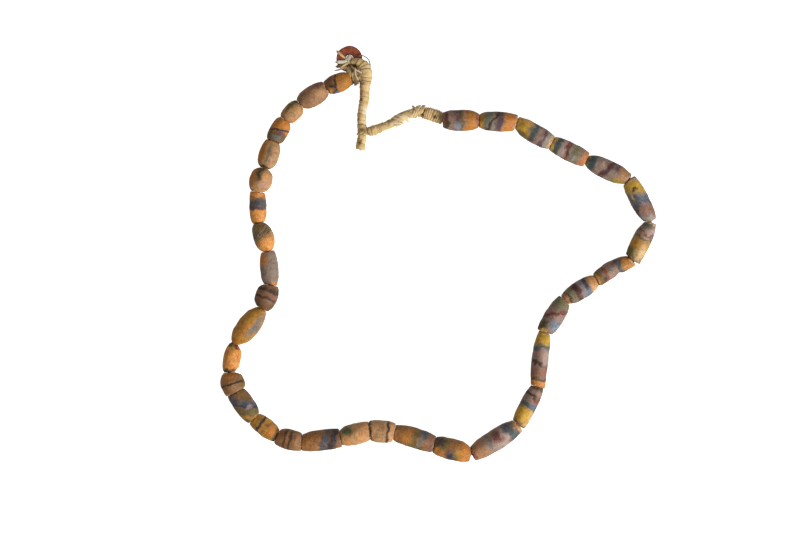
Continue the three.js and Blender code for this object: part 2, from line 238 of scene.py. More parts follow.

# Each bead from its first end: its heading in degrees, slot, ground, second glass and what was laid on.
# A ring holds along, width, slant and colour. A spot holds along, across, length, width and colour.
# All are shares of the bead, and across runs from -1 outside the loop to 1 inside it.
# A few of the pale spots are painted highlights and glints, each marked where it stands.
RING_MEASURES = ("Along", "Length", "Slant")
SPOT_MEASURES = ("Along", "Across", "Length", "Width")
BEADS = [
    (202, "amber", "amber", "ochre", [(0.85, 0.36, 0, "brown"), (0.66, 0.08, 0.12, "black brown"),
     (0.8, 0.15, 0.2, 0.12, "black brown"), (0.7, 0.9, 0.12, 0.2, "steel"),
     (0.88, 0.55, 0.12, 0.25, "ochre")]),
    # bead 2: its tan spot is a painted highlight
    (212, "mauve", "tan brown", "mauve brown", [(0.3, 0, 0.35, 0.5, "tan"),
     (0.12, -0.8, 0.3, 0.4, "mauve brown")]),
    (227, "amber", "tan", "orange", [(0.4, -0.6, 0.7, 0.25, "olive"), (0.05, -0.5, 0.2, 0.4, "green")]),
    (241, "amber", "orange", "amber", [(0.82, 0.4, 0, "olive brown"), (0.5, 0.09, -0.12, "purple black"),
     (0.62, 0.35, 0.2, 0.5, "purple"), (0.85, 0.1, 0.2, 0.5, "grey")]),
    (252, "amber", "tan", "tan brown", [(0.5, -0.75, 1.2, 0.4, "amber"), (0.5, 0, 0.8, 0.22, "grey olive"),
     (0.98, 0.08, 0, "dark brown")]),
    (253, "amber", "tan", "peach", [(0.5, -0.85, 1.1, 0.4, "amber"), (0.3, -0.2, 0.6, 0.25, "dark olive"),
     # bead 6: its pink spot is a painted highlight
     (0.68, 0.35, 0.25, 0.35, "pink")]),
    (272, "amber", "bright orange", "orange", [(0.36, 0.32, 0, "slate"), (0.52, 0.12, 0, "purple")]),
    (288, "olive", "tan brown", "grey olive", [(0.12, 0.1, -0.25, "olive"),
     (0.22, 0.05, -0.25, "dark brown"), (0.33, 0.08, -0.25, "green grey"), (0.43, 0.05, -0.25, "dark olive"),
     (0.53, 0.07, -0.25, "green"), (0.85, 0.4, 0.6, 1.2, "bright orange")]),
    (275, "amber", "warm grey", "mauve", [(0.2, -0.7, 0.5, 0.6, "orange"),
     (0.97, 0.5, 0.16, 0.5, "orange")]),
    (250, "mauve", "mauve brown", "warm brown", [(0.2, 0.15, 0, "dark brown"), (0.54, 0.13, 0, "dark brown"),
     (0.85, 0.3, 0, "brown")]),
    (232, "amber", "ochre", "orange", [(0.38, 0.55, 0.62, 0.32, "grey")]),
    (259, "amber", "bright orange", "orange", [(0.06, -0.4, 0.14, 0.4, "green"),
     (0.08, 0.35, 0.12, 0.3, "dark red"), (0.17, 0, 0.1, 0.25, "olive yellow"),
     (0.95, -0.3, 0.1, 0.3, "green"), (0.93, 0.4, 0.1, 0.3, "brown")]),
    (288, "mauve", "warm brown", "tan brown", [(0.7, 0.75, 0.6, 0.4, "olive brown"),
     (0.12, -0.4, 0.3, 0.8, "amber"), (0.57, 0.11, 0, "black brown")]),
    (305, "mauve", "brown", "olive brown", [(0.06, 0.5, 0.2, 0.6, "olive brown"), (0.4, 0.3, 0.3, "slate"),
     # bead 14: its lilac spot is a painted highlight
     (0.5, 0.12, 0.32, "navy"), (0.6, 0.3, 0.1, 0.3, "lilac"), (0.95, 0.14, 0.2, "ochre"),
     (0.72, 0.2, 0.2, "olive")]),
    (322, "amber", "ochre", "warm brown", [(0.3, 0.11, 0, "purple black"),
     (0.92, 0.12, -0.08, "black brown"), (0.75, 0.2, 0.25, 0.8, "orange")]),
    (346, "mauve", "warm brown", "brown", [(0.88, 0.22, 0, "tan brown"), (0.33, 0.1, 0, "dark brown"),
     (0.56, 0.1, 0, "dark brown")]),
    (7, "amber", "warm brown", "amber", [(0.6, 0.2, 0.12, "slate"), (0.82, 0.26, 0.14, "purple black"),
     (0.95, -0.3, 0.1, 0.5, "mauve brown")]),
    (14, "amber", "tan", "orange", [(0.26, 0.55, 0.34, 0.5, "green"), (0.87, 0.26, 0, "peach")]),
    (356, "mauve", "tan", "tan brown", [(0.02, 0.1, 0, "dark brown"), (0.74, 0.1, 0, "dark brown"),
     (0.89, 0.13, 0, "peach")]),
    (343, "amber", "warm brown", "amber", [(0.35, -0.1, 0.3, 0.6, "amber"), (0.68, 0.16, 0.1, "grey"),
     (0.7, 0.75, 0.36, 0.5, "slate"), (0.6, -0.95, 0.6, 0.2, "olive"), (0.92, 0.2, 0, "mauve brown"),
     (0.5, 0.14, 0, "olive brown")]),
    (345, "amber", "warm brown", "amber", [(0.2, -0.6, 0.4, 0.5, "amber"), (0.26, 0.45, 0.3, 0.6, "olive"),
     (0.15, 0.5, 0.22, 0.5, "purple black"), (0.5, -0.6, 0.32, 0.5, "navy"),
     (0.72, -0.3, 0.14, 0.4, "olive yellow"), (0.87, 0.26, 0, "orange"),
     (0.03, 0.2, 0.1, 0.8, "dark olive")]),
    (32, "grey", "mauve", "grey", [(0.14, 0.26, 0, "tan brown"), (0.02, 0.06, 0, "dark red"),
     (0.4, 0.12, 0, "grey"), (0.54, 0.2, 0, "mauve"), (0.56, 0.3, 0.14, 0.5, "dark red"),
     # bead 22: its pink grey spot and pink grey ring are painted highlights
     (0.55, -0.7, 0.3, 0.3, "pink grey"), (0.7, 0.1, 0, "pink grey"), (0.83, 0.16, 0, "slate"),
     (0.85, -0.2, 0.12, 0.5, "teal"), (0.97, 0.6, 0.08, 0.5, "olive yellow"), (0.98, 0.06, 0, "peach")]),
    (63, "yellow", "mauve", "warm grey", [(0.24, 0.42, 0, "gold"), (0.03, 0.08, 0, "brown"),
     (0.25, -0.85, 0.4, 0.25, "cream"), (0.5, 0.15, 0, "teal"), (0.52, -0.5, 0.1, 0.35, "steel"),
     (0.75, 0.07, 0.05, "dark brown"), (0.68, -0.7, 0.15, 0.3, "red brown"), (0.98, 0.08, 0, "dark olive")]),
    (83, "grey", "mauve", "warm grey", [(0.05, 0.12, 0, "orange"), (0.14, 0.06, 0, "dark olive"),
     (0.26, 0.18, 0, "mauve brown"), (0.42, 0.09, 0.05, "dark brown"), (0.55, -0.7, 0.3, 0.4, "pink grey"),
     (0.74, 0.09, 0, "teal"), (0.9, 0.22, 0, "gold")]),
    (58, "grey", "mauve", "grey", [(0.15, 0.6, 0.25, 0.5, "dark olive"), (0.25, -0.5, 0.3, 0.5, "steel"),
     # bead 25: its two small pale blue spots are painted glints
     (0.18, -0.65, 0.1, 0.12, "pale blue"), (0.28, -0.8, 0.08, 0.1, "pale blue"),
     (0.87, 0.3, 0, "grey olive"), (0.59, 0.15, -0.22, "dark red"), (0.02, 0.2, 0.1, 0.3, "gold"),
     (0.02, -0.4, 0.1, 0.3, "brown"), (0.85, -0.9, 0.3, 0.15, "cream")]),
    (32, "grey", "warm grey", "brown", [(0.05, 0.12, 0, "tan brown"), (0.12, 0.05, 0, "dark brown"),
     (0.22, 0.12, 0, "grey olive"), (0.36, 0.15, 0, "maroon"), (0.53, 0.14, 0, "lilac"),
     (0.68, 0.15, 0, "navy"), (0.64, -0.7, 0.22, 0.5, "steel"), (0.9, 0.26, 0, "peach")]),
    (29, "grey", "mauve", "warm grey", [(0.02, 0.06, 0, "ochre"), (0.13, 0.17, 0, "olive brown"),
     (0.28, 0.06, 0, "red brown"), (0.2, -0.6, 0.1, 0.35, "dark brown"), (0.67, 0.14, 0, "slate"),
     # bead 27: its cream spot at the far end is a painted highlight
     (0.76, 0.04, 0, "olive"), (0.9, 0.26, 0, "amber"), (0.97, 0, 0.06, 0.3, "cream")]),
    (64, "yellow", "mauve", "warm grey", [(0.3, 0.5, 0, "ochre"), (0.03, 0.05, 0, "dark olive"),
     (0.15, 0.55, 0.26, 0.7, "olive"), (0.22, -0.5, 0.36, 0.6, "cream"), (0.57, 0.04, 0, "green"),
     (0.75, -0.6, 0.3, 0.4, "pink grey"), (0.7, 0.05, 0.1, "brown"), (0.7, -0.8, 0.1, 0.3, "purple"),
     (0.93, 0.2, 0.12, 0.5, "green grey"), (0.99, 0.04, 0, "cream")]),
    (118, "yellow", "lilac", "grey", [(0.05, 0.12, 0, "white grey"), (0.27, 0.24, 0.1, "mauve brown"),
     (0.25, 0.95, 0.4, 0.2, "black brown"), (0.45, 0.7, 0.3, 0.5, "slate"), (0.55, 0.14, 0.2, "slate"),
     (0.55, -0.4, 0.2, 0.5, "steel"), (0.85, 0.34, 0.1, "gold"), (0.62, 0.6, 0.2, 0.1, "cream"),
     (0.77, 0.1, 0.08, 0.3, "dark olive")]),
    (155, "grey", "warm grey", "mauve", [(0.12, 0.26, 0, "tan brown"),
     (0.15, 0.8, 0.25, 0.3, "olive yellow"), (0.28, -0.5, 0.12, 0.5, "purple"), (0.49, 0.14, 0.1, "maroon"),
     (0.65, -0.4, 0.1, 0.3, "pink"), (0.88, 0.15, 0, "teal"), (0.98, 0.06, 0, "olive yellow")]),
    (154, "grey", "warm grey", "mauve", [(0.07, 0.18, 0, "coral"), (0.33, 0.18, 0, "grey olive"),
     (0.33, 0.5, 0.1, 0.25, "white grey"), (0.56, 0.09, -0.05, "dark red"), (0.7, 0.13, 0, "pink grey"),
     (0.83, 0.09, 0, "teal"), (0.85, 0.7, 0.12, 0.4, "green"), (0.96, 0.1, 0, "gold")]),
    (150, "yellow", "grey", "mauve", [(0.04, 0.08, 0, "cream"), (0.13, 0.1, 0, "white grey"),
     (0.25, 0.08, 0, "purple"), (0.37, 0.14, 0, "mauve"), (0.55, 0.15, 0, "teal"),
     (0.58, 0.8, 0.25, 0.4, "navy"), (0.84, 0.38, 0, "gold"), (0.8, -0.7, 0.2, 0.3, "peach"),
     (0.8, 0.8, 0.3, 0.3, "olive")]),
    (177, "olive", "warm grey", "grey olive", [(0.18, 0.32, 0, "orange"), (0.01, 0.05, 0, "cream"),
     (0.43, 0.18, 0.05, "purple"), (0.8, 0.12, 0.1, "green grey"), (0.64, 0.09, 0.18, "dark brown"),
     (0.94, 0.13, 0, "ochre")]),
    (179, "grey", "mauve", "mauve brown", [(0.2, 0.34, 0, "amber"), (0.02, 0.05, 0, "red brown"),
     (0.45, 0.08, 0, "olive"), (0.57, 0.16, 0, "purple"), (0.57, 0.6, 0.2, 0.4, "pale blue"),
     (0.92, 0.09, 0, "dark red"), (0.88, 0.5, 0.1, 0.4, "dark olive"), (0.99, 0.04, 0, "mauve")]),
]

# The left cord runs from the lashing to its cut end, and the right cord from the last bead to the left cord
LEFT_CORD_ROUTE = [
    (-36.47, 83.8, 2.36), (-36.47, 77.8, 2.36), (-37.27, 72.8, 2.36), (-38.07, 67.8, 2.36),
    (-37.77, 63.3, 2.36), (-37.57, 59.8, 2.36), (-38.07, 55.8, 2.36), (-38.67, 51.8, 2.36),
]
RIGHT_CORD_ROUTE = [
    (1.2, 67.5, 3.3), (-2.81, 68.77, 3.3), (-7.69, 70.26, 3.25), (-9.5, 70.52, 3.66),
    (-11.61, 70.28, 4.19), (-13.77, 69.51, 4.2), (-16.2, 68.78, 4.15), (-18.46, 67.63, 4.09),
    (-20.77, 65.92, 3.91), (-23.06, 64.83, 3.52), (-25.56, 63.66, 3.1), (-29.22, 62.31, 2.5),
    (-32.23, 61.57, 2.47), (-35.2, 60.8, 2.45),
]

# The left cord's top, bound into the lashing
LASHED_CORD_ROUTE = [
    (-43.0, 95.3, 4.6), (-39.9, 95.4, 5.0), (-37.2, 93.6, 5.0), (-36.0, 90.4, 4.8), (-35.9, 86.8, 3.9),
    (-36.45, 82.8, 2.7),
]

# The right cord's parts along its route
WHIPPING_ROUTE = [(-7.4, 70.1, 3.3), (-2.8, 69.1, 3.3), (2.7, 66.9, 3.4)]
COIL_ROUTE = [(-22.2, 65.0, 3.8), (-19.9, 66.2, 4.0), (-17.4, 67.6, 4.1)]
COIL_STRANDS = 6
TWIST_STRANDS = 6
TWIST_TURNS = 1.3
TWIST_TONES = (-0.6, 0.25, -0.1)
STRAY_ROUTE = [(-18.3, 67.9, 6.0), (-16.4, 66.9, 4.6), (-14.9, 66.0, 2.6), (-13.9, 65.2, 1.2)]
JUNCTION_ROUTE = [(-34.7, 60.4, 2.6), (-32.5, 61.1, 2.6), (-30.3, 61.8, 2.6)]

# Turns that tie the collar to the left cord: place, lean, radius, width and tone
JUNCTION_LOOPS = [
    ((-37.4, 62.4, 2.4), 14, 2.6, 1.3, 0.3),
    ((-37.4, 61.4, 2.4), 32, 2.65, 1.3, 0.6),
    ((-37.5, 60.6, 2.4), -28, 2.7, 1.2, 0.4),
]

# The crossing knot: its middle, its heading and its turns as along, lean, radius, width and tone
CROSSING_PLACE = (-9.7, 70.6, 3.9)
CROSSING_HEADING = math.radians(4)
CROSSING_LOOPS = [
    (-1.9, 34, 2.7, 1.4, 0.1),
    (-0.8, 30, 2.9, 1.3, -0.4),
    (0.5, 36, 2.85, 1.2, 0.2),
    (1.7, 28, 2.8, 1.4, -0.3),
    (-0.3, -38, 3.0, 1.1, -0.1),
]

# The knot in the button: its stem's width and thickness, and heading, lean and radius of each loop
KNOT_STEM = (3.2 * MM, 3.0 * MM)
KNOT_LOOPS = [(20, 20, 1.5 * MM), (80, -15, 1.4 * MM), (140, 25, 1.3 * MM)]

# Strips over the button and strands over the lashing, in millimetres: width, tone, lift, then points seen
# from above
BUTTON_STRIPS = [
    (1.5, -1.2, 0.5, (-45.0, 95.6), (-48.0, 95.4), (-51.3, 95.4)),
    (1.2, 0.15, 0.35, (-45.8, 97.0), (-47.9, 98.6), (-50.7, 101.3)),
    (1.7, 1.0, 0.3, (-44.6, 94.4), (-47.8, 93.5), (-51.2, 93.2)),
    (0.7, -0.7, 0.5, (-47.2, 92.2), (-49.4, 91.7), (-51.6, 91.4)),
    (2.0, 0.4, 0.3, (-42.0, 91.8), (-45.0, 92.0), (-47.6, 92.4)),
]
LASHING_STRANDS = [
    (2.2, 0.9, 0.3, (-44.4, 94.6), (-42.4, 93.6), (-40.2, 92.4)),
    (1.0, -0.3, 0.7, (-42.0, 96.0), (-45.8, 94.3), (-48.7, 92.2)),
    (1.9, 0.1, 0.5, (-43.6, 97.0), (-40.6, 95.6), (-38.6, 93.4)),
    (2.0, -0.2, 0.5, (-39.9, 95.0), (-39.3, 92.9), (-38.6, 90.6)),
    (2.1, -0.4, 0.4, (-44.6, 93.2), (-44.0, 90.4), (-42.6, 87.6)),
    (0.8, -0.8, 0.9, (-43.4, 93.6), (-41.2, 91.5), (-36.9, 89.2)),
    (0.8, -0.6, 0.9, (-41.3, 92.6), (-40.9, 88.6), (-39.3, 85.9)),
    (0.9, 0.3, 0.6, (-41.8, 90.4), (-42.6, 88.2), (-41.9, 85.4)),
]

# Turns of the lashing: along as a share, lean, size as a share and tone
LASHING_LOOPS = [
    (-0.8, 10, 0.8, 0.9),
    (-0.5, -16, 0.94, 0.5),
    (-0.2, 18, 1.0, 0.7),
    (0.1, -14, 1.0, 0.6),
    (0.4, 12, 1.0, 0.9),
    (0.7, -10, 0.9, 0.8),
]
FILAMENT_SIZE = (0.7 * MM, 0.6 * MM)
FILAMENT_ROUTE = [
    (-40.0, 97.4, 3.6), (-38.45, 98.65, 4.2), (-36.0, 97.8, 4.6), (-34.3, 96.0, 5.0),
    (-33.7, 93.25, 5.6), (-34.9, 91.0, 6.6),
]

# Stains on the raffia, and painted shade in some of its holes and hollows: place in millimetres, radius
# and tone, over nothing for dark and under it for pale
STAINS_AND_HOLE_SHADE = [
    # painted shade in two holes among the left cord's wraps
    (-38.2, 79.4, 0.9, 1.3),
    (-38.1, 76.9, 0.9, 1.4),
    # painted shade over the left cord's upper wraps
    (-38.2, 84.2, 2.2, 0.5),
    (-36.3, 70.9, 2.4, -0.6),
    (-39.8, 71.2, 1.4, 0.6),
    (-37.0, 61.4, 1.8, 0.6),
    # painted shade in the knot hole near the left cord's cut end
    (-38.4, 55.9, 1.0, 1.1),
    (-39.1, 54.4, 1.0, 0.9),
    # painted shade in a hole in the right cord's whipping
    (-1.6, 67.8, 0.8, 2.0),
    (0.8, 67.9, 1.2, 0.5),
    # painted shade in a hole between the crossing knot and the whipping
    (-7.9, 68.6, 0.9, 2.4),
    (-6.7, 71.0, 1.1, 1.0),
    (-24.5, 66.0, 1.5, 0.6),
    (-42.1, 93.0, 1.7, 1.0),
    (-43.6, 87.1, 1.5, 1.1),
    (-41.3, 84.8, 1.5, 1.1),
    (-33.4, 88.8, 1.6, -0.6),
    (-39.7, 88.4, 0.6, 1.5),
]

# Windings: diameters in millimetres from end to end, pitch and how far a turn's edge stands up
LEFT_WINDING = ((5.5, 5.3, 5.0, 4.7, 5.0, 5.15), 2.4, 0.42)
LASHED_WINDING = ((2.4, 4.6, 6.2, 7.0, 6.4, 5.4), 2.2, 0.5)
RIGHT_WINDING = ((4.5, 4.6, 4.7, 4.8), 1.8, 0.3)
WHIPPING_WINDING = ((6.0, 6.4, 6.5, 6.6, 6.5, 6.2), 1.15, 0.5)
JUNCTION_WINDING = ((4.6, 5.0, 5.2, 4.8), 1.3, 0.4)


def linear(value):
    share = value / 255
    return share / 12.92 if share <= 0.04045 else ((share + 0.055) / 1.055) ** 2.4


def paint(name):
    red, green, blue = COLOURS[name]
    return (linear(red), linear(green), linear(blue), 1.0)


# Shader groups

FLOAT = "NodeSocketFloat"
VECTOR = "NodeSocketVector"
COLOUR = "NodeSocketColor"


class Group:
    """A shader node group under construction. Its inputs are numbers by name, or None for a vector."""

    def __init__(self, name, inputs, outputs):
        self.tree = bpy.data.node_groups.new(name, "ShaderNodeTree")
        for label, value in inputs.items():
            kind = VECTOR if value is None else FLOAT
            socket = self.tree.interface.new_socket(label, in_out="INPUT", socket_type=kind)
            if value is not None:
                socket.default_value = value
        for label, kind in outputs.items():
            self.tree.interface.new_socket(label, in_out="OUTPUT", socket_type=kind)
        self.start = self.tree.nodes.new("NodeGroupInput")
        self.end = self.tree.nodes.new("NodeGroupOutput")

    def take(self, label):
        return self.start.outputs[label]

    def give(self, label, socket):
        self.tree.links.new(socket, self.end.inputs[label])

    def split_chart(self):
        """How far along the bead a point is and how far across it, as sockets."""
        split = self.tree.nodes.new("ShaderNodeSeparateXYZ")
        self.tree.links.new(self.take("Chart"), split.inputs[0])
        return split.outputs[0], split.outputs[1]


def plug(tree, inputs, values):
    """Links a socket, or sets a plain value, for each input in turn."""
    for target, value in zip(inputs, values):
        if isinstance(value, bpy.types.NodeSocket):
            tree.links.new(value, target)
        else:
            target.default_value = value


def math_node(tree, operation, *values):
    node = tree.nodes.new("ShaderNodeMath")
    node.operation = operation
    plug(tree, node.inputs, values)
    return node.outputs[0]


def times(tree, first, second):
    return math_node(tree, "MULTIPLY", first, second)


def plus(tree, first, second):
    return math_node(tree, "ADD", first, second)


def minus(tree, first, second):
    return math_node(tree, "SUBTRACT", first, second)


def vector_node(tree, operation, *values):
    node = tree.nodes.new("ShaderNodeVectorMath")
    node.operation = operation
    plug(tree, node.inputs, values)
    return node.outputs[0]


def noise_node(tree, vector, scale, detail=2.0, roughness=0.5, output="Fac"):
    node = tree.nodes.new("ShaderNodeTexNoise")
    node.inputs["Detail"].default_value = detail
    node.inputs["Roughness"].default_value = roughness
    plug(tree, [node.inputs["Vector"], node.inputs["Scale"]], [vector, scale])
    return node.outputs[output]


def range_node(tree, value, low, high, to_low=0.0, to_high=1.0):
    node = tree.nodes.new("ShaderNodeMapRange")
    node.interpolation_type = "SMOOTHSTEP"
    plug(tree, node.inputs, [value, low, high, to_low, to_high])
    return node.outputs[0]


def mix_node(tree, factor, first, second, blend="MIX"):
    node = tree.nodes.new("ShaderNodeMix")
    node.data_type = "RGBA"
    node.blend_type = blend
    plug(tree, [node.inputs[0], node.inputs[6], node.inputs[7]], [factor, first, second])
    return node.outputs[2]


def attribute_node(tree, name, output="Vector"):
    node = tree.nodes.new("ShaderNodeAttribute")
    node.attribute_name = name
    return node.outputs[output]


def object_place(tree):
    return tree.nodes.new("ShaderNodeTexCoord").outputs["Object"]


def place_group(tree, group, **values):
    """A group placed in a material, its inputs linked or set by name, with _ for a space."""
    node = tree.nodes.new("ShaderNodeGroup")
    node.node_tree = group
    for label, value in values.items():
        plug(tree, [node.inputs[label.replace("_", " ")]], [value])
    return node.outputs


def make_uneven_chart():
    """The bead's own coordinates, pushed about as melted powder flows."""
    group = Group("uneven chart", {"Chart": None, "Flow": 1.0, "Scale": 300.0}, {"Chart": VECTOR})
    tree = group.tree
    place = object_place(tree)
    broad = noise_node(tree, place, group.take("Scale"), detail=1.0, output="Color")
    fine = noise_node(tree, place, times(tree, group.take("Scale"), FINE_FLOW_SCALE), output="Color")
    broad_shift = vector_node(tree, "SUBTRACT", broad, NOISE_MIDDLE)
    fine_shift = vector_node(tree, "SUBTRACT", fine, NOISE_MIDDLE)
    shift = vector_node(tree, "ADD", broad_shift, vector_node(tree, "MULTIPLY", fine_shift, FINE_FLOW_SHARE))
    scaled = tree.nodes.new("ShaderNodeVectorMath")
    scaled.operation = "SCALE"
    tree.links.new(vector_node(tree, "MULTIPLY", shift, FLOW_REACH), scaled.inputs[0])
    tree.links.new(group.take("Flow"), scaled.inputs["Scale"])
    group.give("Chart", vector_node(tree, "ADD", group.take("Chart"), scaled.outputs[0]))
    return tree


def make_glass_patch():
    """A laid-on ring or spot of glass, or a painted highlight: 1 inside it and 0 outside, by the bead's own
    coordinates.
    """
    sizes = {"Along": 0.5, "Across": 0.0, "Length": 0.2, "Width": 1000.0, "Slant": 0.0, "Softness": 0.7}
    group = Group("glass and highlight patch", {"Chart": None, **sizes}, {"Mask": FLOAT})
    tree = group.tree
    along, across = group.split_chart()
    aside = minus(tree, across, group.take("Across"))
    forward = minus(tree, along, group.take("Along"))
    straight = minus(tree, forward, times(tree, aside, group.take("Slant")))
    run = math_node(tree, "DIVIDE", straight, times(tree, group.take("Length"), 0.5))
    rise = math_node(tree, "DIVIDE", aside, group.take("Width"))
    reach = math_node(tree, "SQRT", plus(tree, times(tree, run, run), times(tree, rise, rise)))
    inner = minus(tree, 1.0, group.take("Softness"))
    outer = plus(tree, 1.0, group.take("Softness"))
    group.give("Mask", range_node(tree, reach, inner, outer, to_low=1.0, to_high=0.0))
    return tree


def make_powder_grain():
    """Fused powder: a speckled tint, its bump height and its roughness."""
    group = Group(
        "powder grain",
        {"Grain": 2600.0, "Tint Spread": 0.35, "Roughness": 0.6},
        {"Tint": COLOUR, "Height": FLOAT, "Roughness": FLOAT, "Dust": FLOAT},
    )
    tree = group.tree
    place = object_place(tree)
    grain = noise_node(tree, place, group.take("Grain"), detail=4.0, roughness=0.7)
    clouds = noise_node(tree, place, CLOUD_SCALE, detail=3.0, roughness=0.6)
    pits = noise_node(tree, place, PIT_SCALE, detail=1.0)
    dust = noise_node(tree, place, DUST_SCALE, detail=3.0, roughness=0.7)
    in_pit = range_node(tree, pits, low=0.3, high=0.38, to_low=1.0, to_high=0.0)
    darkest = minus(tree, 1.0, group.take("Tint Spread"))
    palest = plus(tree, 1.0, group.take("Tint Spread"))
    speckle = range_node(tree, grain, 0.3, 0.7, darkest, palest)
    pitted = times(tree, speckle, minus(tree, 1.0, times(tree, in_pit, PIT_DARKENING)))
    shade = times(tree, pitted, range_node(tree, clouds, 0.25, 0.75, *CLOUD_SHADES))
    tint = tree.nodes.new("ShaderNodeCombineColor")
    for channel in tint.inputs:
        tree.links.new(shade, channel)
    group.give("Tint", tint.outputs[0])
    group.give("Height", minus(tree, grain, times(tree, in_pit, PIT_DEPTH)))
    rough = plus(tree, group.take("Roughness"), range_node(tree, clouds, 0.3, 0.7, *CLOUD_ROUGHNESS))
    group.give("Roughness", plus(tree, rough, times(tree, in_pit, PIT_ROUGHNESS)))
    group.give("Dust", range_node(tree, dust, low=0.5, high=0.72))
    return tree


def make_end_wear():
    """Where a bead's lips are rubbed pale, and where dirt has gathered round its bore."""
    group = Group("end wear", {"Chart": None, "Reach": 0.08}, {"Rubbed": FLOAT, "Dirt": FLOAT})
    tree = group.tree
    along, _ = group.split_chart()
    from_middle = math_node(tree, "ABSOLUTE", minus(tree, along, 0.5))
    patchy = noise_node(tree, object_place(tree), WEAR_SCALE)
    near_lip = range_node(tree, from_middle, low=minus(tree, 0.5, group.take("Reach")), high=0.5)
    at_bore = range_node(tree, from_middle, low=DIRT_START, high=0.5)
    group.give("Rubbed", times(tree, near_lip, range_node(tree, patchy, low=0.45, high=0.7)))
    group.give("Dirt", times(tree, at_bore, range_node(tree, patchy, low=0.6, high=0.35)))
    return tree


def make_raffia_fibre():
    """Fibres that run along a strand: a mask of pale and dark fibre, and its bump height."""
    outputs = {"Pale": FLOAT, "Worn": FLOAT, "Height": FLOAT}
    group = Group("raffia fibre", {"Strand": None, "Fineness": 7.0}, outputs)
    tree = group.tree
    stretched = vector_node(tree, "MULTIPLY", group.take("Strand"), FIBRE_STRETCH)
    fibre = noise_node(tree, stretched, group.take("Fineness"), detail=3.0, roughness=0.6)
    blotch = noise_node(tree, object_place(tree), BLOTCH_SCALE)
    group.give("Pale", range_node(tree, fibre, low=0.34, high=0.66))
    group.give("Worn", range_node(tree, blotch, low=0.4, high=0.66))
    group.give("Height", fibre)
    return tree


UNEVEN_CHART = make_uneven_chart()
GLASS_AND_HIGHLIGHT_PATCH = make_glass_patch()
POWDER_GRAIN = make_powder_grain()
END_WEAR = make_end_wear()
RAFFIA_FIBRE = make_raffia_fibre()


def new_material(name, roughness=0.6):
    material = bpy.data.materials.new(name)
    material.use_nodes = True
    shader = material.node_tree.nodes["Principled BSDF"]
    shader.inputs["Roughness"].default_value = roughness
    return material, material.node_tree, shader


def add_bump(tree, shader, height, distance, strength):
    bump = tree.nodes.new("ShaderNodeBump")
    bump.inputs["Distance"].default_value = distance
    bump.inputs["Strength"].default_value = strength
    tree.links.new(height, bump.inputs["Height"])
    tree.links.new(bump.outputs[0], shader.inputs["Normal"])


def add_grain(tree, shader, colour, grain, distance, strength):
    """Powder grain over a colour: its tint, its roughness and its bumps."""
    colour = mix_node(tree, 1.0, colour, grain["Tint"], "MULTIPLY")
    tree.links.new(colour, shader.inputs["Base Color"])
    tree.links.new(grain["Roughness"], shader.inputs["Roughness"])
    add_bump(tree, shader, grain["Height"], distance, strength)


def bead_material(number, ground, second, laid_on_and_highlights):
    """The glass of one bead: two grounds flowed together, then each ring and spot in turn."""
    material, tree, shader = new_material(f"powder glass {number:02d}")
    chart = attribute_node(tree, "bead_chart")
    flowed = place_group(tree, UNEVEN_CHART, Chart=chart)["Chart"]
    streaks = noise_node(tree, object_place(tree), STREAK_SCALE, detail=3.0, roughness=0.6)
    colour = mix_node(tree, range_node(tree, streaks, low=0.45, high=0.7), paint(ground), paint(second))
    # Rings and spots of laid-on glass, and a few spots of painted highlight, each mixed over the colour in
    # turn
    for *sizes, glass in laid_on_and_highlights:
        measures = RING_MEASURES if len(sizes) == len(RING_MEASURES) else SPOT_MEASURES
        mask = place_group(tree, GLASS_AND_HIGHLIGHT_PATCH, Chart=flowed, **dict(zip(measures, sizes)))["Mask"]
        colour = mix_node(tree, mask, colour, paint(glass))
    grain = place_group(tree, POWDER_GRAIN)
    wear = place_group(tree, END_WEAR, Chart=chart)
    stretched = vector_node(tree, "MULTIPLY", flowed, BAND_STRETCH)
    banded = noise_node(tree, stretched, 1.0, detail=3.0, roughness=0.6)
    for share, glass in (
        (times(tree, wear["Rubbed"], RUBBED_SHARE), "peach"),
        (times(tree, wear["Dirt"], DIRT_SHARE), "dark brown"),
        (range_node(tree, banded, low=0.5, high=0.7, to_high=DARK_BAND_SHARE), "dark brown"),
        (range_node(tree, banded, low=0.44, high=0.3, to_high=PALE_BAND_SHARE), "peach"),
        (times(tree, grain["Dust"], GLASS_DUST), "cream"),
    ):
        colour = mix_node(tree, share, colour, paint(glass))
    add_grain(tree, shader, colour, grain, distance=0.12 * MM, strength=0.7)
    return material


def raffia_material(name, dark, middle, pale):
    """Raffia by its fibres, stains and painted shade where a strand's tone is over nothing, bleached where
    under.
    """
    material, tree, shader = new_material(name, roughness=0.75)
    fibre = place_group(tree, RAFFIA_FIBRE, Strand=attribute_node(tree, "strand_chart"))
    colour = mix_node(tree, fibre["Pale"], paint(middle), paint(pale))
    colour = mix_node(tree, times(tree, fibre["Worn"], WORN_SHARE), colour, paint(dark))
    tone = attribute_node(tree, "strand_tone", "Fac")
    stained_and_shaded = range_node(tree, tone, low=0.0, high=DARKEST_TONE, to_high=STAIN_AND_SHADE_SHARE)
    bleached = range_node(tree, tone, low=0.0, high=PALEST_TONE)
    colour = mix_node(tree, stained_and_shaded, colour, paint("raffia stain and shade"))
    colour = mix_node(tree, bleached, colour, paint("raffia white"))
    tree.links.new(colour, shader.inputs["Base Color"])
    add_bump(tree, shader, fibre["Height"], distance=0.15 * MM, strength=0.8)
    return material


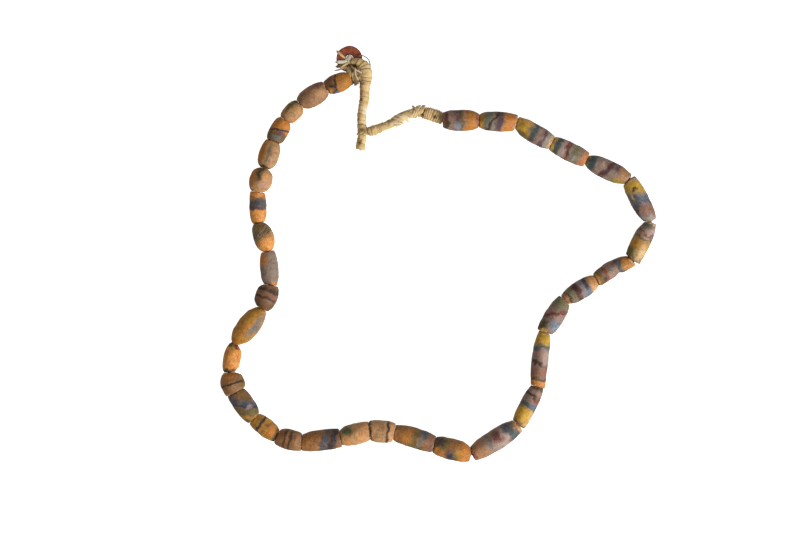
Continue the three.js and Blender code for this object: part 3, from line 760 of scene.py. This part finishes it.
def clay_material():
    material, tree, shader = new_material("button clay")
    grain = place_group(tree, POWDER_GRAIN, Tint_Spread=0.2, Roughness=0.42)
    clouds = noise_node(tree, object_place(tree), CLAY_CLOUD_SCALE, detail=3.0, roughness=0.6)
    colour = mix_node(tree, range_node(tree, clouds, low=0.4, high=0.66), paint("clay"), paint("dark clay"))
    colour = mix_node(tree, times(tree, grain["Dust"], CLAY_DUST), colour, paint("pale clay"))
    add_grain(tree, shader, colour, grain, distance=0.08 * MM, strength=0.5)
    return material


# Meshes


def put_object(name, data):
    thing = bpy.data.objects.new(name, data)
    bpy.context.scene.collection.objects.link(thing)
    return thing


def waver(*place):
    """Smooth noise between -1 and 1."""
    return noise.noise(Vector(place))


def spokes(count):
    """The angle, cosine and sine of each point round a ring."""
    for spoke in range(count):
        angle = 2 * math.pi * spoke / count
        yield angle, math.cos(angle), math.sin(angle)


class Shell:
    """Points, faces and a vector for each point, gathered into one mesh."""

    def __init__(self):
        self.points = []
        self.chart = []
        self.tones = []
        self.faces = []

    def add_grid(self, rings, charts, round_trip=False, tone=0.0):
        """Rings of points joined one to the next, and shut at both ends, or else joined last to first."""
        start = len(self.points)
        count = len(rings[0])
        for ring, chart in zip(rings, charts):
            self.points.extend(ring)
            self.chart.extend(chart)
        self.tones.extend(np.broadcast_to(tone, (len(rings), count)).ravel())
        top = start + (len(rings) - 1) * count
        for at in range(len(rings) if round_trip else len(rings) - 1):
            low = start + at * count
            high = start if low == top else low + count
            for side in range(count):
                beside = (side + 1) % count
                self.faces.append((low + side, low + beside, high + beside, high + side))
        if not round_trip:
            self.faces.append(tuple(start + side for side in reversed(range(count))))
            self.faces.append(tuple(top + side for side in range(count)))

    def make(self, name, material, stands_for=None, chart_name="strand_chart"):
        """The piece itself, which takes a solid's place where it stands for one."""
        for point in self.points:
            point[2] = max(point[2], FLOOR_GAP)
        mesh = bpy.data.meshes.new(name)
        mesh.from_pydata([tuple(point) for point in self.points], [], self.faces)
        chart = mesh.attributes.new(chart_name, "FLOAT_VECTOR", "POINT")
        chart.data.foreach_set("vector", np.array(self.chart, np.float32).ravel())
        if chart_name == "strand_chart":
            stained_and_shaded = np.array(self.tones) + stain_and_shade_at(np.array(self.points))
            tones = mesh.attributes.new("strand_tone", "FLOAT", "POINT")
            tones.data.foreach_set("value", stained_and_shaded.astype(np.float32))
        mesh.materials.append(material)
        mesh.shade_smooth()
        piece = put_object(name, mesh)
        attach(piece, "root")
        if stands_for:
            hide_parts(stands_for)
        return piece


def smooth_route(route, spacing):
    """A Catmull-Rom curve through the points, sampled about this far apart."""
    points = [np.array(point, float) for point in route]
    points = [2 * points[0] - points[1], *points, 2 * points[-1] - points[-2]]
    samples = []
    for at in range(1, len(points) - 2):
        before, here, after, beyond = points[at - 1 : at + 3]
        steps = max(int(np.linalg.norm(after - here) / spacing), 1)
        for step in range(steps):
            t = step / steps
            samples.append(
                0.5 * (2 * here + (after - before) * t + (2 * before - 5 * here + 4 * after - beyond) * t * t
                       + (3 * here - before - 3 * after + beyond) * t ** 3)
            )
    samples.append(points[-2])
    return np.array(samples)


def unit(vector):
    return vector / max(np.linalg.norm(vector), 1e-12)


def directions(path):
    return [unit(path[min(at + 1, len(path) - 1)] - path[max(at - 1, 0)]) for at in range(len(path))]


def path_runs(path):
    """How far along the path each of its points is."""
    return np.concatenate([[0.0], np.cumsum(np.linalg.norm(np.diff(path, axis=0), axis=1))])


def side_vectors(path):
    """A vector across the path at each point, turned as little as may be from one to the next."""
    ways = directions(path)
    across = unit(np.cross(ways[0], UP) + 1e-9)
    sides = []
    for way in ways:
        across = unit(across - np.dot(across, way) * way)
        sides.append(across)
    return sides


def add_strand(
    shell, path, width, thickness, outs=None, taper=(0.0, 0.0), seed=0, sides=8, rough=0.12, tone=0.0
):
    """A flat fibrous strand along a path. outs say which way its flat face looks."""
    ways = directions(path)
    facing = side_vectors(path) if outs is None else outs
    runs = path_runs(path)
    rings, charts = [], []
    for at, point in enumerate(path):
        run = runs[at]
        thin = unit(facing[at] - np.dot(facing[at], ways[at]) * ways[at])
        wide = np.cross(ways[at], thin)
        share = at / max(len(path) - 1, 1)
        slim = 1.0
        if taper[0] and share < taper[0]:
            slim = min(slim, TIP_WIDTH + (1 - TIP_WIDTH) * share / taper[0])
        if taper[1] and share > 1 - taper[1]:
            slim = min(slim, TIP_WIDTH + (1 - TIP_WIDTH) * (1 - share) / taper[1])
        swell = 1 + rough * 2 * waver(run / MM * 0.5, seed * 7.3, 0.5)
        ring, chart = [], []
        for side, (_, cosine, sine) in enumerate(spokes(sides)):
            ridge = 1 + rough * waver(run / MM * 0.35, seed * 3.1 + side * 1.7, 9.0)
            reach = wide * cosine * width + thin * sine * thickness
            ring.append(point + reach * 0.5 * slim * swell * ridge)
            chart.append((run / MM, cosine * width / MM + seed * 5.0, sine * thickness / MM))
        rings.append(ring)
        charts.append(chart)
    shell.add_grid(rings, charts, tone=tone)


def wound_path(route, radius, turns, start=0.0, wobble=0.0, seed=0):
    """A helix round a route, and the way out from it at each of its points."""
    base = smooth_route(route, FINE_STEP)
    lengths = path_runs(base)
    count = max(int(abs(turns) * WOUND_STEPS), FEWEST_STEPS)
    places = np.linspace(0.0, lengths[-1], count + 1)
    middle = np.stack([np.interp(places, lengths, base[:, axis]) for axis in range(3)], axis=1)
    ways, sides = directions(middle), side_vectors(middle)
    path, outs = [], []
    for at, point in enumerate(middle):
        share = at / count
        angle = start + 2 * math.pi * turns * share
        if wobble:
            angle += wobble * waver(share * abs(turns) * 0.7, seed * 4.1, 2.0)
        out = math.cos(angle) * sides[at] + math.sin(angle) * np.cross(ways[at], sides[at])
        swell = 1 + WOUND_SWELL * waver(share * abs(turns) * 1.3, seed * 2.7, 5.0)
        path.append(point + out * radius * swell)
        outs.append(out)
    return np.array(path), outs


def loop_path(centre, axis, radius, height, lean=0.0, start=0.0, turns=1.0, advance=0.0, seed=0):
    """An oval turn of strand round a level axis, leaning by degrees, and the way out from it."""
    way = unit(np.array(axis, float))
    across = unit(np.cross(UP, way))
    count = max(int(abs(turns) * LOOP_STEPS), FEWEST_STEPS)
    path, outs = [], []
    for at in range(count + 1):
        angle = start + 2 * math.pi * turns * at / count
        drift = advance * (at / count - 0.5) + math.tan(math.radians(lean)) * radius * math.cos(angle)
        swell = 1 + LOOP_SWELL * waver(at * 0.2, seed * 3.3, 1.0)
        out = across * math.cos(angle) * radius + UP * math.sin(angle) * height
        path.append(np.array(centre, float) + out * swell + way * drift)
        outs.append(unit(out))
    return np.array(path), outs


# Beads


class CadBead:
    """The ends, axis and outline of a bead's solid, read from its node."""

    def __init__(self, node, heading):
        points = np.array([vertex.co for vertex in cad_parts[node].data.vertices], float)
        points = np.unique(np.round(points, 6), axis=0)
        level = np.array((math.cos(math.radians(heading)), math.sin(math.radians(heading)), 0.0))
        along = points @ level
        self.first = points[along < along.min() + FACE_DEPTH].mean(axis=0)
        self.last = points[along > along.max() - FACE_DEPTH].mean(axis=0)
        self.length = float(np.linalg.norm(self.last - self.first))
        self.way = unit(self.last - self.first)
        self.left = unit(np.cross(UP, self.way))
        self.up = np.cross(self.way, self.left)
        self.near_plane = (self.first, self.way)
        self.far_plane = (self.last, self.way)
        share = (points - self.first) @ self.way / self.length
        aside = (points - self.first) @ self.left
        rise = (points - self.first) @ self.up
        reach = np.hypot(aside, rise)
        outside = reach > BORE_RADIUS * BORE_MARGIN
        self.stations = [(0.0, reach[(share < FACE_SPAN) & outside].mean(), 0.0, 0.0)]
        for low, high in STATION_SPANS:
            ring = (share > low) & (share < high)
            middle = (aside[ring].mean(), rise[ring].mean())
            radius = np.hypot(aside[ring] - middle[0], rise[ring] - middle[1]).mean()
            self.stations.append((share[ring].mean(), radius, *middle))
        self.stations.append((1.0, reach[(share > 1 - FACE_SPAN) & outside].mean(), 0.0, 0.0))

    def place(self, along, aside, rise):
        return self.first + self.way * along + self.left * aside + self.up * rise


def string_beads():
    """The beads in order, each with the planes between it and its neighbours."""
    beads = [CadBead(f"bead_{at + 1:02d}", row[0]) for at, row in enumerate(BEADS)]
    for before, after in zip(beads, beads[1:]):
        plane = ((before.last + after.first) / 2, unit(before.way + after.way))
        before.far_plane = plane
        after.near_plane = plane
    return beads


def end_shift(bead, near, aside, rise):
    """How far a lip is moved along the bead to meet the plane between it and its neighbour."""
    point, normal = bead.near_plane if near else bead.far_plane
    lip = bead.place(0.0 if near else bead.length, aside, rise)
    gap = HALF_JOINT if near else -HALF_JOINT
    shift = ((point - lip) @ normal + gap) / (bead.way @ normal)
    return max(-LONGEST_REACH, min(shift, LONGEST_REACH))


def bead_outline(bead):
    """Rings from lip to lip: along, radius and the two offsets of the ring's middle, in metres."""
    inner = [(share * bead.length, radius, aside, rise) for share, radius, aside, rise in bead.stations[1:-1]]
    widest = bead.stations[3][1]
    near, far = [(ring[1] - LIP_SWELL * widest) / (1 - LIP_SWELL) for ring in (inner[0], inner[-1])]
    controls = [(0.0, near - LIP_ROUND, 0.0, 0.0), (LIP_ROUND, near, 0.0, 0.0), *inner,
                (bead.length - LIP_ROUND, far, 0.0, 0.0), (bead.length, far - LIP_ROUND, 0.0, 0.0)]
    return smooth_route(controls, bead.length / BEAD_RINGS)


def lump(place, size, seed):
    return noise.noise(Vector(place / size) + Vector((seed * 1.7, 0.0, 0.0)))


def skin_relief(place, number, share, sine):
    """How far a bead's skin stands out at a place, and how far its lip is chipped back, in metres."""
    lip = max(0.0, abs(share - 0.5) - (0.5 - LIP_SPAN)) / LIP_SPAN
    bumps = [lump(place, size, number) for size in BUMP_SIZES]
    chip = max(0.0, lump(place, CHIP_SIZE, number + 40) - CHIP_START)
    grow = sum(height * bump for height, bump in zip(BUMP_HEIGHTS, bumps)) * MM
    grow -= lip * CHIP_DEPTH * chip * MM
    back = lip * lip * (LIP_WANDER * max(0.0, bumps[0]) + LIP_CHIP * chip) * MM
    if number in NOTCHES:
        middle, side, length, depth = NOTCHES[number]
        near = ((share - middle) / length) ** 2 + ((sine - side) / NOTCH_WIDTH) ** 2
        grow -= depth * math.exp(-near) * MM
    return grow, back


def make_bead(number, bead, slot, ground, second, laid_on_and_highlights):
    """A hand-made bead over its solid: uneven barrel, chipped lips, pitted skin and open bore."""
    outline = bead_outline(bead)
    girth = max(ring[1] for ring in outline)
    bore = [(BORE_DEPTH, BORE_RADIUS), (0.0, BORE_RADIUS * BORE_FLARE)]
    rings = [(along, radius, 0.0, 0.0, False) for along, radius in bore]
    rings += [(*ring, True) for ring in outline]
    rings += [(bead.length - along, radius, 0.0, 0.0, False) for along, radius in reversed(bore)]
    grid, charts = [], []
    for along, radius, aside, rise, outside in rings:
        share = along / bead.length
        near = share < 0.5
        weight = max(0.0, (abs(share - 0.5) - (0.5 - LEAN_SPAN)) / LEAN_SPAN) if outside else 1.0
        ring, chart = [], []
        for _, cosine, sine in spokes(BEAD_SPOKES):
            grow, back = 0.0, 0.0
            if outside:
                place = bead.place(along, aside + radius * sine, rise + radius * cosine)
                grow, back = skin_relief(place, number, share, sine)
            wide = radius + grow
            spot = (aside + wide * sine, rise + wide * cosine)
            inward = (back if near else -back) + weight * end_shift(bead, near, *spot)
            ring.append(bead.place(along + inward, *spot))
            chart.append((share, sine * wide / girth, cosine))
        grid.append(ring)
        charts.append(chart)
    shell = Shell()
    shell.add_grid(grid, charts, round_trip=True)
    material = bead_material(number, ground, second, laid_on_and_highlights)
    slot = f"powder_glass_{slot}"
    shell.make(f"glass_bead_{number:02d}", material, f"bead_{number:02d}", "bead_chart")


# Scene


def make_camera():
    data = bpy.data.cameras.new("camera")
    data.sensor_width = SENSOR_WIDTH
    data.lens = SENSOR_WIDTH * VIEW_HEIGHT / VIEW_WIDTH
    camera = put_object("camera", data)
    camera.location = (*VIEW_CENTRE, VIEW_HEIGHT)
    bpy.context.scene.camera = camera


def make_lamp(name, place, size, power, colour):
    data = bpy.data.lights.new(name, "AREA")
    data.shape = "DISK"
    data.size = size
    data.energy = power
    data.color = colour
    lamp = put_object(name, data)
    lamp.location = place
    target = Vector((*VIEW_CENTRE, 0.0))
    lamp.rotation_euler = (target - Vector(place)).to_track_quat("-Z", "Y").to_euler()


def make_surroundings():
    """A pale surface, soft light from all round and a broad lamp towards the lower right."""
    world = bpy.data.worlds.new("studio")
    world.use_nodes = True
    background = world.node_tree.nodes["Background"]
    background.inputs["Color"].default_value = WORLD_COLOUR
    background.inputs["Strength"].default_value = WORLD_LIGHT
    bpy.context.scene.world = world
    bpy.context.scene.view_settings.view_transform = "Standard"
    make_lamp("key_lamp", KEY_PLACE, KEY_SIZE, KEY_POWER, KEY_COLOUR)
    make_lamp("fill_lamp", FILL_PLACE, FILL_SIZE, FILL_POWER, FILL_COLOUR)
    mesh = bpy.data.meshes.new("floor")
    half = FLOOR_WIDTH / 2
    corners = [(-half, -half, 0.0), (half, -half, 0.0), (half, half, 0.0), (-half, half, 0.0)]
    mesh.from_pydata(corners, [], [(0, 1, 2, 3)])
    material, tree, shader = new_material("pale surface", FLOOR_ROUGHNESS)
    grain = noise_node(tree, object_place(tree), FLOOR_GRAIN, detail=3.0)
    tree.links.new(mix_node(tree, grain, *FLOOR_GREYS), shader.inputs["Base Color"])
    shader.inputs["Emission Color"].default_value = WHITE
    seen = tree.nodes.new("ShaderNodeLightPath").outputs["Is Camera Ray"]
    tree.links.new(times(tree, seen, FLOOR_GLOW), shader.inputs["Emission Strength"])
    mesh.materials.append(material)
    put_object("floor", mesh)


# Raffia


def stain_and_shade_at(points):
    """How dark, or below nothing how pale, stains and painted shade in holes leave the raffia at each point.
    """
    total = np.zeros(len(points))
    for x, y, radius, tone in STAINS_AND_HOLE_SHADE:
        near = ((points[:, 0] - x * MM) ** 2 + (points[:, 1] - y * MM) ** 2) / (radius * MM) ** 2
        total += tone * np.exp(-near)
    return total


def tip_fray(shell, root, way, count, length, seed, spread, width=0.35 * MM, tone=0.0):
    """Loose fibres that fan out from the end of a strand."""
    draw = random.Random(seed)
    way = unit(np.array(way, float))
    for at in range(count):
        turn = draw.uniform(-spread, spread)
        lift = draw.uniform(-0.15, 0.35)
        ahead = unit(np.array((way[0] * math.cos(turn) - way[1] * math.sin(turn),
                               way[0] * math.sin(turn) + way[1] * math.cos(turn), way[2] + lift)))
        reach = length * draw.uniform(0.5, 1.0)
        start = np.array(root, float) - way * 0.4 * MM
        sag = UP * -0.25 * reach
        middle = start + ahead * reach * 0.5
        path = smooth_route([start, middle, start + ahead * reach + sag * draw.uniform(0, 1)], FINE_STEP)
        add_strand(shell, path, width, width * 0.6, taper=(0, 0.5), seed=seed + at, sides=5, tone=tone)


def add_cord_core(shell, path, diameter, seed):
    """Lobes of raffia laid together, the whole length of a cord, darker as painted shade in the gaps between
    turns.
    """
    ways, sides = directions(path), side_vectors(path)
    runs = path_runs(path)
    rings, charts = [], []
    for at, point in enumerate(path):
        run = runs[at] / MM
        up = np.cross(ways[at], sides[at])
        ring, chart = [], []
        for angle, cosine, sine in spokes(CORE_SPOKES):
            lobe = 1 + LOBE_HEIGHT * math.cos(CORE_LOBES * (angle - run * LOBE_TURN))
            uneven = 1 + CORE_ROUGHNESS * waver(run * 0.6, cosine + seed * 3, sine)
            reach = diameter * CORE_SHARE * lobe * uneven
            ring.append(point + (sides[at] * cosine + up * sine) * reach)
            chart.append((run, cosine * 3 + seed * 5, sine * 3))
        rings.append(ring)
        charts.append(chart)
    # The core is darkened as painted shade, for it shows only in the gaps between the turns over it
    shell.add_grid(rings, charts, tone=0.5)


def add_wrapping(shell, route, girths, pitch, step, roundness=0.0, lean=0.0, tone=0.0, seed=0):
    """Flat strand wound closely round a route. girths are diameters in millimetres from end to end, step is
    how far a turn's edge stands up, and roundness is 0 for lapped flat strand and 1 for a round one."""
    path = smooth_route(np.array(route) * MM, WRAP_STEP)
    ways, sides = directions(path), side_vectors(path)
    runs = path_runs(path) / MM
    places = np.linspace(0.0, 1.0, len(girths))
    rings, charts, tones = [], [], []
    for at, point in enumerate(path):
        up = np.cross(ways[at], sides[at])
        girth = float(np.interp(runs[at] / runs[-1], places, girths))
        wander = 0.7 * waver(runs[at] * 0.3, seed * 5.1, 3.0)
        ring, chart, tones_with_crease_shade = [], [], []
        for angle, cosine, sine in spokes(WRAP_SPOKES):
            turn = runs[at] / pitch + angle / (2 * math.pi) + lean * cosine + wander
            number, share = math.floor(turn), turn % 1.0
            odd = waver(number * 3.7, seed * 2.3, 1.5)
            crest = math.sqrt(max(0.0, 1 - (2 * share - 1) ** 2))
            lapped = min(share * 6, 1.0) * (1 - 0.7 * share)
            height = roundness * crest + (1 - roundness) * lapped
            dent = 0.2 * noise.noise(Vector(point / (2.2 * MM)) + Vector((cosine, sine, seed)))
            reach = girth / 2 + step * (height - 1 + 0.7 * odd) + dent
            ring.append(point + (sides[at] * cosine + up * sine) * reach * MM)
            chart.append((angle * girth / 2 + number * 9.7, share * pitch, 0.0))
            # The last term darkens the start of each turn as painted shade in the crease where it meets the
            # turn before
            tones_with_crease_shade.append(tone + 0.6 * odd + 0.8 * math.exp(-((share / 0.12) ** 2)))
        rings.append(ring)
        charts.append(chart)
        tones.append(tones_with_crease_shade)
    shell.add_grid(rings, charts, tone=tones)


def make_thread():
    """Two plies of raffia twisted together, through every bore."""
    joints = [(before.last + after.first) / 2 for before, after in zip(strung, strung[1:])]
    first, last = strung[0], strung[-1]
    route = [first.first - first.way * 0.6 * MM, *joints, last.last + last.way * 0.6 * MM]
    path = []
    for before, after in zip(route, route[1:]):
        steps = max(int(np.linalg.norm(after - before) / THREAD_STEP), 2)
        path += [before + (after - before) * step / steps for step in range(steps)]
    path.append(route[-1])
    path = np.array(path)
    ways, sides, runs = directions(path), side_vectors(path), path_runs(path)
    shell = Shell()
    for ply in range(2):
        strand = []
        for at, point in enumerate(path):
            angle = math.pi * ply + runs[at] / MM * THREAD_TURN
            out = math.cos(angle) * sides[at] + math.sin(angle) * np.cross(ways[at], sides[at])
            strand.append(point + out * THREAD_PLY * 0.45)
        add_strand(shell, np.array(strand), THREAD_PLY, THREAD_PLY * 0.8, seed=ply, sides=7)
    shell.make("twisted_thread", THREAD_RAFFIA, "thread")


def make_button():
    """The flat disc, uneven and softly edged, with its hole."""
    low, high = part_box("button_bead")
    centre = np.array(((low.x + high.x) / 2, (low.y + high.y) / 2, 0.0))
    outer, top = (high.x - low.x) / 2, high.z
    hole, edge = BUTTON_HOLE / 2, BUTTON_EDGE
    profile = [
        (hole, 0.3 * MM),
        (hole + 0.3 * MM, 0.02 * MM),
        (outer - edge, 0.02 * MM),
        (outer - 0.2 * MM, 0.25 * MM),
        (outer, edge),
        (outer, top - edge),
        (outer - 0.2 * MM, top - 0.22 * MM),
        (outer - edge, top),
        (outer * 0.6, top + 0.05 * MM),
        (hole + 0.6 * MM, top),
        (hole + 0.15 * MM, top - 0.2 * MM),
        (hole, top - 0.7 * MM),
    ]
    rings, charts = [], []
    for _, cosine, sine in spokes(BUTTON_SPOKES):
        way = np.array((cosine, sine, 0.0))
        swell = 1 + BUTTON_SWELL * waver(cosine * 1.4, sine * 1.4, 3.0)
        ring = []
        for reach, height in profile:
            place = centre + way * reach * (swell if reach > hole * 1.3 else 1.0) + UP * height
            ring.append(place + UP * 0.1 * MM * lump(place, 1.5 * MM, 70))
        rings.append(ring)
        charts.append([(0.0, 0.0, 0.0)] * len(profile))
    shell = Shell()
    shell.add_grid(rings, charts, round_trip=True)
    shell.make("button_disc", BUTTON_CLAY, "button_bead")
    return centre, top


class Mound:
    """The heights that loose strands lie on round the lashing: its lump and the button."""

    def __init__(self, button, button_top):
        low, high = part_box("lashing")
        self.centre = np.array(((low.x + high.x) / 2, (low.y + high.y) / 2, 0.0)) + LASHING_SHIFT
        self.top = high.z * LASHING_CORE_HEIGHT
        self.way, self.left = -strung[0].way * (1, 1, 0), -strung[0].left
        self.half = (LASHING_LENGTH / 2, LASHING_WIDTH / 2)
        self.button, self.button_top = button, button_top

    def height(self, place):
        away = (place - self.centre) * (1, 1, 0)
        reach = (away @ self.way / self.half[0]) ** 2 + (away @ self.left / self.half[1]) ** 2
        lump_top = self.top * (0.5 + 0.5 * math.sqrt(1 - reach)) if reach < 1 else 0.0
        on_button = np.linalg.norm((place - self.button)[:2]) < BUTTON_REACH
        return max(lump_top, self.button_top if on_button else 0.0)

    def drape(self, points, lift):
        """A route given from above, laid on the mound and drawn smooth."""
        flat = smooth_route([(x * MM, y * MM, 0.0) for x, y in points], FINE_STEP)
        heights = np.array([self.height(place) for place in flat])
        for settle in (np.max, np.mean):
            padded = np.pad(heights, DRAPE_REACH, mode="edge")
            heights = np.array([settle(padded[at : at + 2 * DRAPE_REACH + 1]) for at in range(len(flat))])
        flat[:, 2] = heights + lift * MM
        return flat

    def lay_strip(self, shell, strip, thickness, taper, seed):
        """A flat strand laid over the mound, its path and its tone."""
        width, tone, lift, *points = strip
        path = self.drape(points, lift)
        add_strand(shell, path, width * MM, thickness, [UP] * len(path), taper=taper, seed=seed, tone=tone)
        return path, tone


def make_button_knot(centre, top, mound):
    """The knot in the button's hole, and the strips that run from it over the disc."""
    shell = Shell()
    stem = [centre + UP * height for height in np.linspace(0.1 * MM, top, 8)]
    add_strand(shell, np.array(stem), *KNOT_STEM, seed=3, sides=12)
    for at, (turn, lean, size) in enumerate(KNOT_LOOPS):
        way = (math.cos(math.radians(turn)), math.sin(math.radians(turn)), 0.0)
        middle = centre + UP * (top + 0.3 * MM)
        path, outs = loop_path(middle, way, size, size * 0.62, lean, seed=at)
        add_strand(shell, path, 1.5 * MM, 0.9 * MM, outs, seed=10 + at, sides=8, tone=-1.0)
    for at, strip in enumerate(BUTTON_STRIPS):
        path, tone = mound.lay_strip(shell, strip, 0.35 * MM, (0, 0.15), 20 + at)
        tip_fray(shell, path[-1], path[-1] - path[-4], 2, 0.8 * MM, 60 + at, spread=0.25, tone=tone)
    shell.make("knot_and_strips", PALE_RAFFIA, "button_knot")


def make_lashing_core(mound):
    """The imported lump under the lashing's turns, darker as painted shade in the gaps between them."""
    rings, charts = [], []
    for at in range(LASHING_CORE_RINGS):
        share = 2 * at / (LASHING_CORE_RINGS - 1) - 1
        along = share * mound.half[0] * 0.95
        round_off = math.sqrt(max(0.06, 1 - share ** 4))
        ring, chart = [], []
        for _, cosine, sine in spokes(CORE_SPOKES):
            place = mound.centre + mound.way * along + mound.left * cosine * mound.half[1] * 0.9 * round_off
            place = place + UP * mound.top * (0.5 + 0.47 * sine * round_off)
            outward = unit(place - mound.centre - UP * mound.top / 2)
            place = place + outward * 0.4 * MM * lump(place, 1.4 * MM, 5)
            ring.append(place)
            chart.append((along / MM, cosine * 4, sine * 4))
        rings.append(ring)
        charts.append(chart)
    shell = Shell()
    # The lump is darkened as painted shade, for it shows only in the gaps between the turns over it
    shell.add_grid(rings, charts, tone=0.6)
    shell.make("lashing_core", SHADED_CORE_RAFFIA, "lashing")


def make_lashing(mound):
    """The wound lump: a packed core, turns round it, the cord's top bound in and strands that cross it."""
    make_lashing_core(mound)
    shell = Shell()
    draw = random.Random(11)
    middle = mound.centre + UP * mound.top / 2
    for at, (share, lean, size, tone) in enumerate(LASHING_LOOPS):
        path, outs = loop_path(middle + mound.way * share * mound.half[0], mound.way, mound.half[1] * size,
                               mound.top / 2 * size, lean, start=draw.uniform(0, 6), turns=1.15,
                               advance=draw.uniform(-0.6, 0.6) * MM, seed=at)
        add_strand(shell, path, draw.uniform(1.2, 1.9) * MM, 0.5 * MM, outs, seed=30 + at, tone=tone)
    for at, strand in enumerate(LASHING_STRANDS):
        mound.lay_strip(shell, strand, 0.5 * MM, (0.1, 0.1), 50 + at)
    shell.make("lashing_turns", PALE_RAFFIA, "lashing")
    shell = Shell()
    add_wrapping(shell, LASHED_CORD_ROUTE, *LASHED_WINDING, tone=0.15, seed=4)
    shell.make("lashed_cord_top", PALE_RAFFIA, "lashing")


def make_filament():
    """The thin grey filament that loops out of the lashing."""
    path = smooth_route(np.array(FILAMENT_ROUTE) * MM, FINE_STEP)
    shell = Shell()
    add_strand(shell, path, *FILAMENT_SIZE, seed=1, sides=7, rough=0.02)
    shell.make("filament_loop", FILAMENT)


def make_cord_core(name, route, diameter, seed, stands_for):
    """A cord's core along its route, and that route drawn smooth."""
    path = smooth_route(np.array(route) * MM, CORD_STEP)
    shell = Shell()
    add_cord_core(shell, path, diameter, seed)
    return shell.make(name, SHADED_CORE_RAFFIA, stands_for), path


def make_left_cord():
    """The left cord: its core, the flat strand wound round it and its cut, frayed end."""
    core, path = make_cord_core("left_cord", LEFT_CORD_ROUTE, LEFT_CORD_DIAMETER, 1, "left_wrapped_cord")
    shell = Shell()
    add_wrapping(shell, LEFT_CORD_ROUTE, *LEFT_WINDING, tone=-0.05, seed=1)
    tip_fray(shell, path[-1], path[-1] - path[-4], 16, 1.3 * MM, 5, spread=0.6, width=0.55 * MM)
    wraps = shell.make("left_cord_wraps", PALE_RAFFIA)
    return core, wraps, path


def make_junction():
    """The bound collar, and the turns that tie it to the left cord."""
    shell = Shell()
    add_wrapping(shell, JUNCTION_ROUTE, *JUNCTION_WINDING, roundness=0.8, seed=6)
    for at, (place, lean, radius, width, tone) in enumerate(JUNCTION_LOOPS):
        path, outs = loop_path(np.array(place) * MM, (0.1, 1.0, 0.0), radius * MM, 2.2 * MM, lean,
                               start=at * 2.1, turns=1.1, seed=at)
        add_strand(shell, path, width * MM, 0.5 * MM, outs, seed=130 + at, tone=tone)
    return shell.make("junction_turns", PALE_RAFFIA, "junction_collar")


def make_right_wraps():
    """The strand wound round the right cord, the strands twisted along it and one that has come loose."""
    shell = Shell()
    add_wrapping(shell, RIGHT_CORD_ROUTE[8:13], *RIGHT_WINDING, roundness=0.4, lean=0.35, tone=-0.1, seed=2)
    twisted = np.array(RIGHT_CORD_ROUTE[2:10]) * MM
    for at in range(TWIST_STRANDS):
        start = 2 * math.pi * at / TWIST_STRANDS
        path, outs = wound_path(twisted, 0.43 * RIGHT_CORD_DIAMETER, TWIST_TURNS, start, wobble=0.5, seed=at)
        tone = TWIST_TONES[at % len(TWIST_TONES)]
        add_strand(shell, path, 1.9 * MM, 0.7 * MM, outs, seed=90 + at, tone=tone)
    stray = smooth_route(np.array(STRAY_ROUTE) * MM, FINE_STEP)
    add_strand(shell, stray, 1.2 * MM, 0.5 * MM, [UP] * len(stray), taper=(0, 0.4), seed=99, tone=0.2)
    return shell.make("right_cord_wraps", PALE_RAFFIA)


def make_whipping():
    """The collar whipped round the right cord at the last bead."""
    shell = Shell()
    add_wrapping(shell, WHIPPING_ROUTE, *WHIPPING_WINDING, roundness=0.8, lean=0.1, tone=0.15, seed=3)
    return shell.make("whipping_turns", PALE_RAFFIA, "end_whipping")


def make_coil():
    """The pale coil wound steeply round the right cord."""
    shell = Shell()
    for at in range(COIL_STRANDS):
        start = 2 * math.pi * at / COIL_STRANDS
        path, outs = wound_path(np.array(COIL_ROUTE) * MM, 2.6 * MM, 0.4, start, seed=30 + at)
        add_strand(shell, path, 1.1 * MM, 0.9 * MM, outs, taper=(0.2, 0.2), seed=40 + at, tone=-0.6)
    return shell.make("coil_turns", PALE_RAFFIA, "coil_knot")


def make_crossing():
    """The knot of crossed turns on the right cord."""
    shell = Shell()
    way = (math.cos(CROSSING_HEADING), math.sin(CROSSING_HEADING), 0.0)
    for at, (along, lean, radius, width, tone) in enumerate(CROSSING_LOOPS):
        place = np.array(CROSSING_PLACE) * MM + np.array(way) * along * MM
        path, outs = loop_path(place, way, radius * MM, radius * MM, lean, start=at * 1.3, turns=1.05,
                               seed=at)
        add_strand(shell, path, width * MM, 0.7 * MM, outs, seed=110 + at, tone=tone)
    return shell.make("crossing_turns", PALE_RAFFIA, "crossing_knot")


def make_right_cord():
    """The right cord from the last bead to the left cord, with its whipping, knots and collar."""
    core, path = make_cord_core("right_cord", RIGHT_CORD_ROUTE, RIGHT_CORD_DIAMETER, 2, "right_wrapped_cord")
    pieces = [make_right_wraps(), make_whipping(), make_coil(), make_crossing(), make_junction()]
    return core, pieces, path


make_camera()
PALE_RAFFIA = raffia_material("pale raffia", "raffia shadow", "raffia", "pale raffia")
# Raffia for the cord and lashing cores, darker as painted shade where they show between the turns
SHADED_CORE_RAFFIA = raffia_material("core raffia with painted shade", "raffia shadow", "dark raffia", "raffia")
THREAD_RAFFIA = raffia_material("thread raffia", "brown", "thread", "raffia")
FILAMENT = raffia_material("filament", "filament", "filament", "filament")
BUTTON_CLAY = clay_material()

left_cord, left_wraps, left_path = make_left_cord()
right_cord, right_pieces, right_path = make_right_cord()

strung = string_beads()
for at, (heading, *row) in enumerate(BEADS):
    make_bead(at + 1, strung[at], *row)
make_thread()
button_centre, button_top = make_button()
mound = Mound(button_centre, button_top)
make_button_knot(button_centre, button_top, mound)
make_lashing(mound)
make_filament()
make_surroundings()
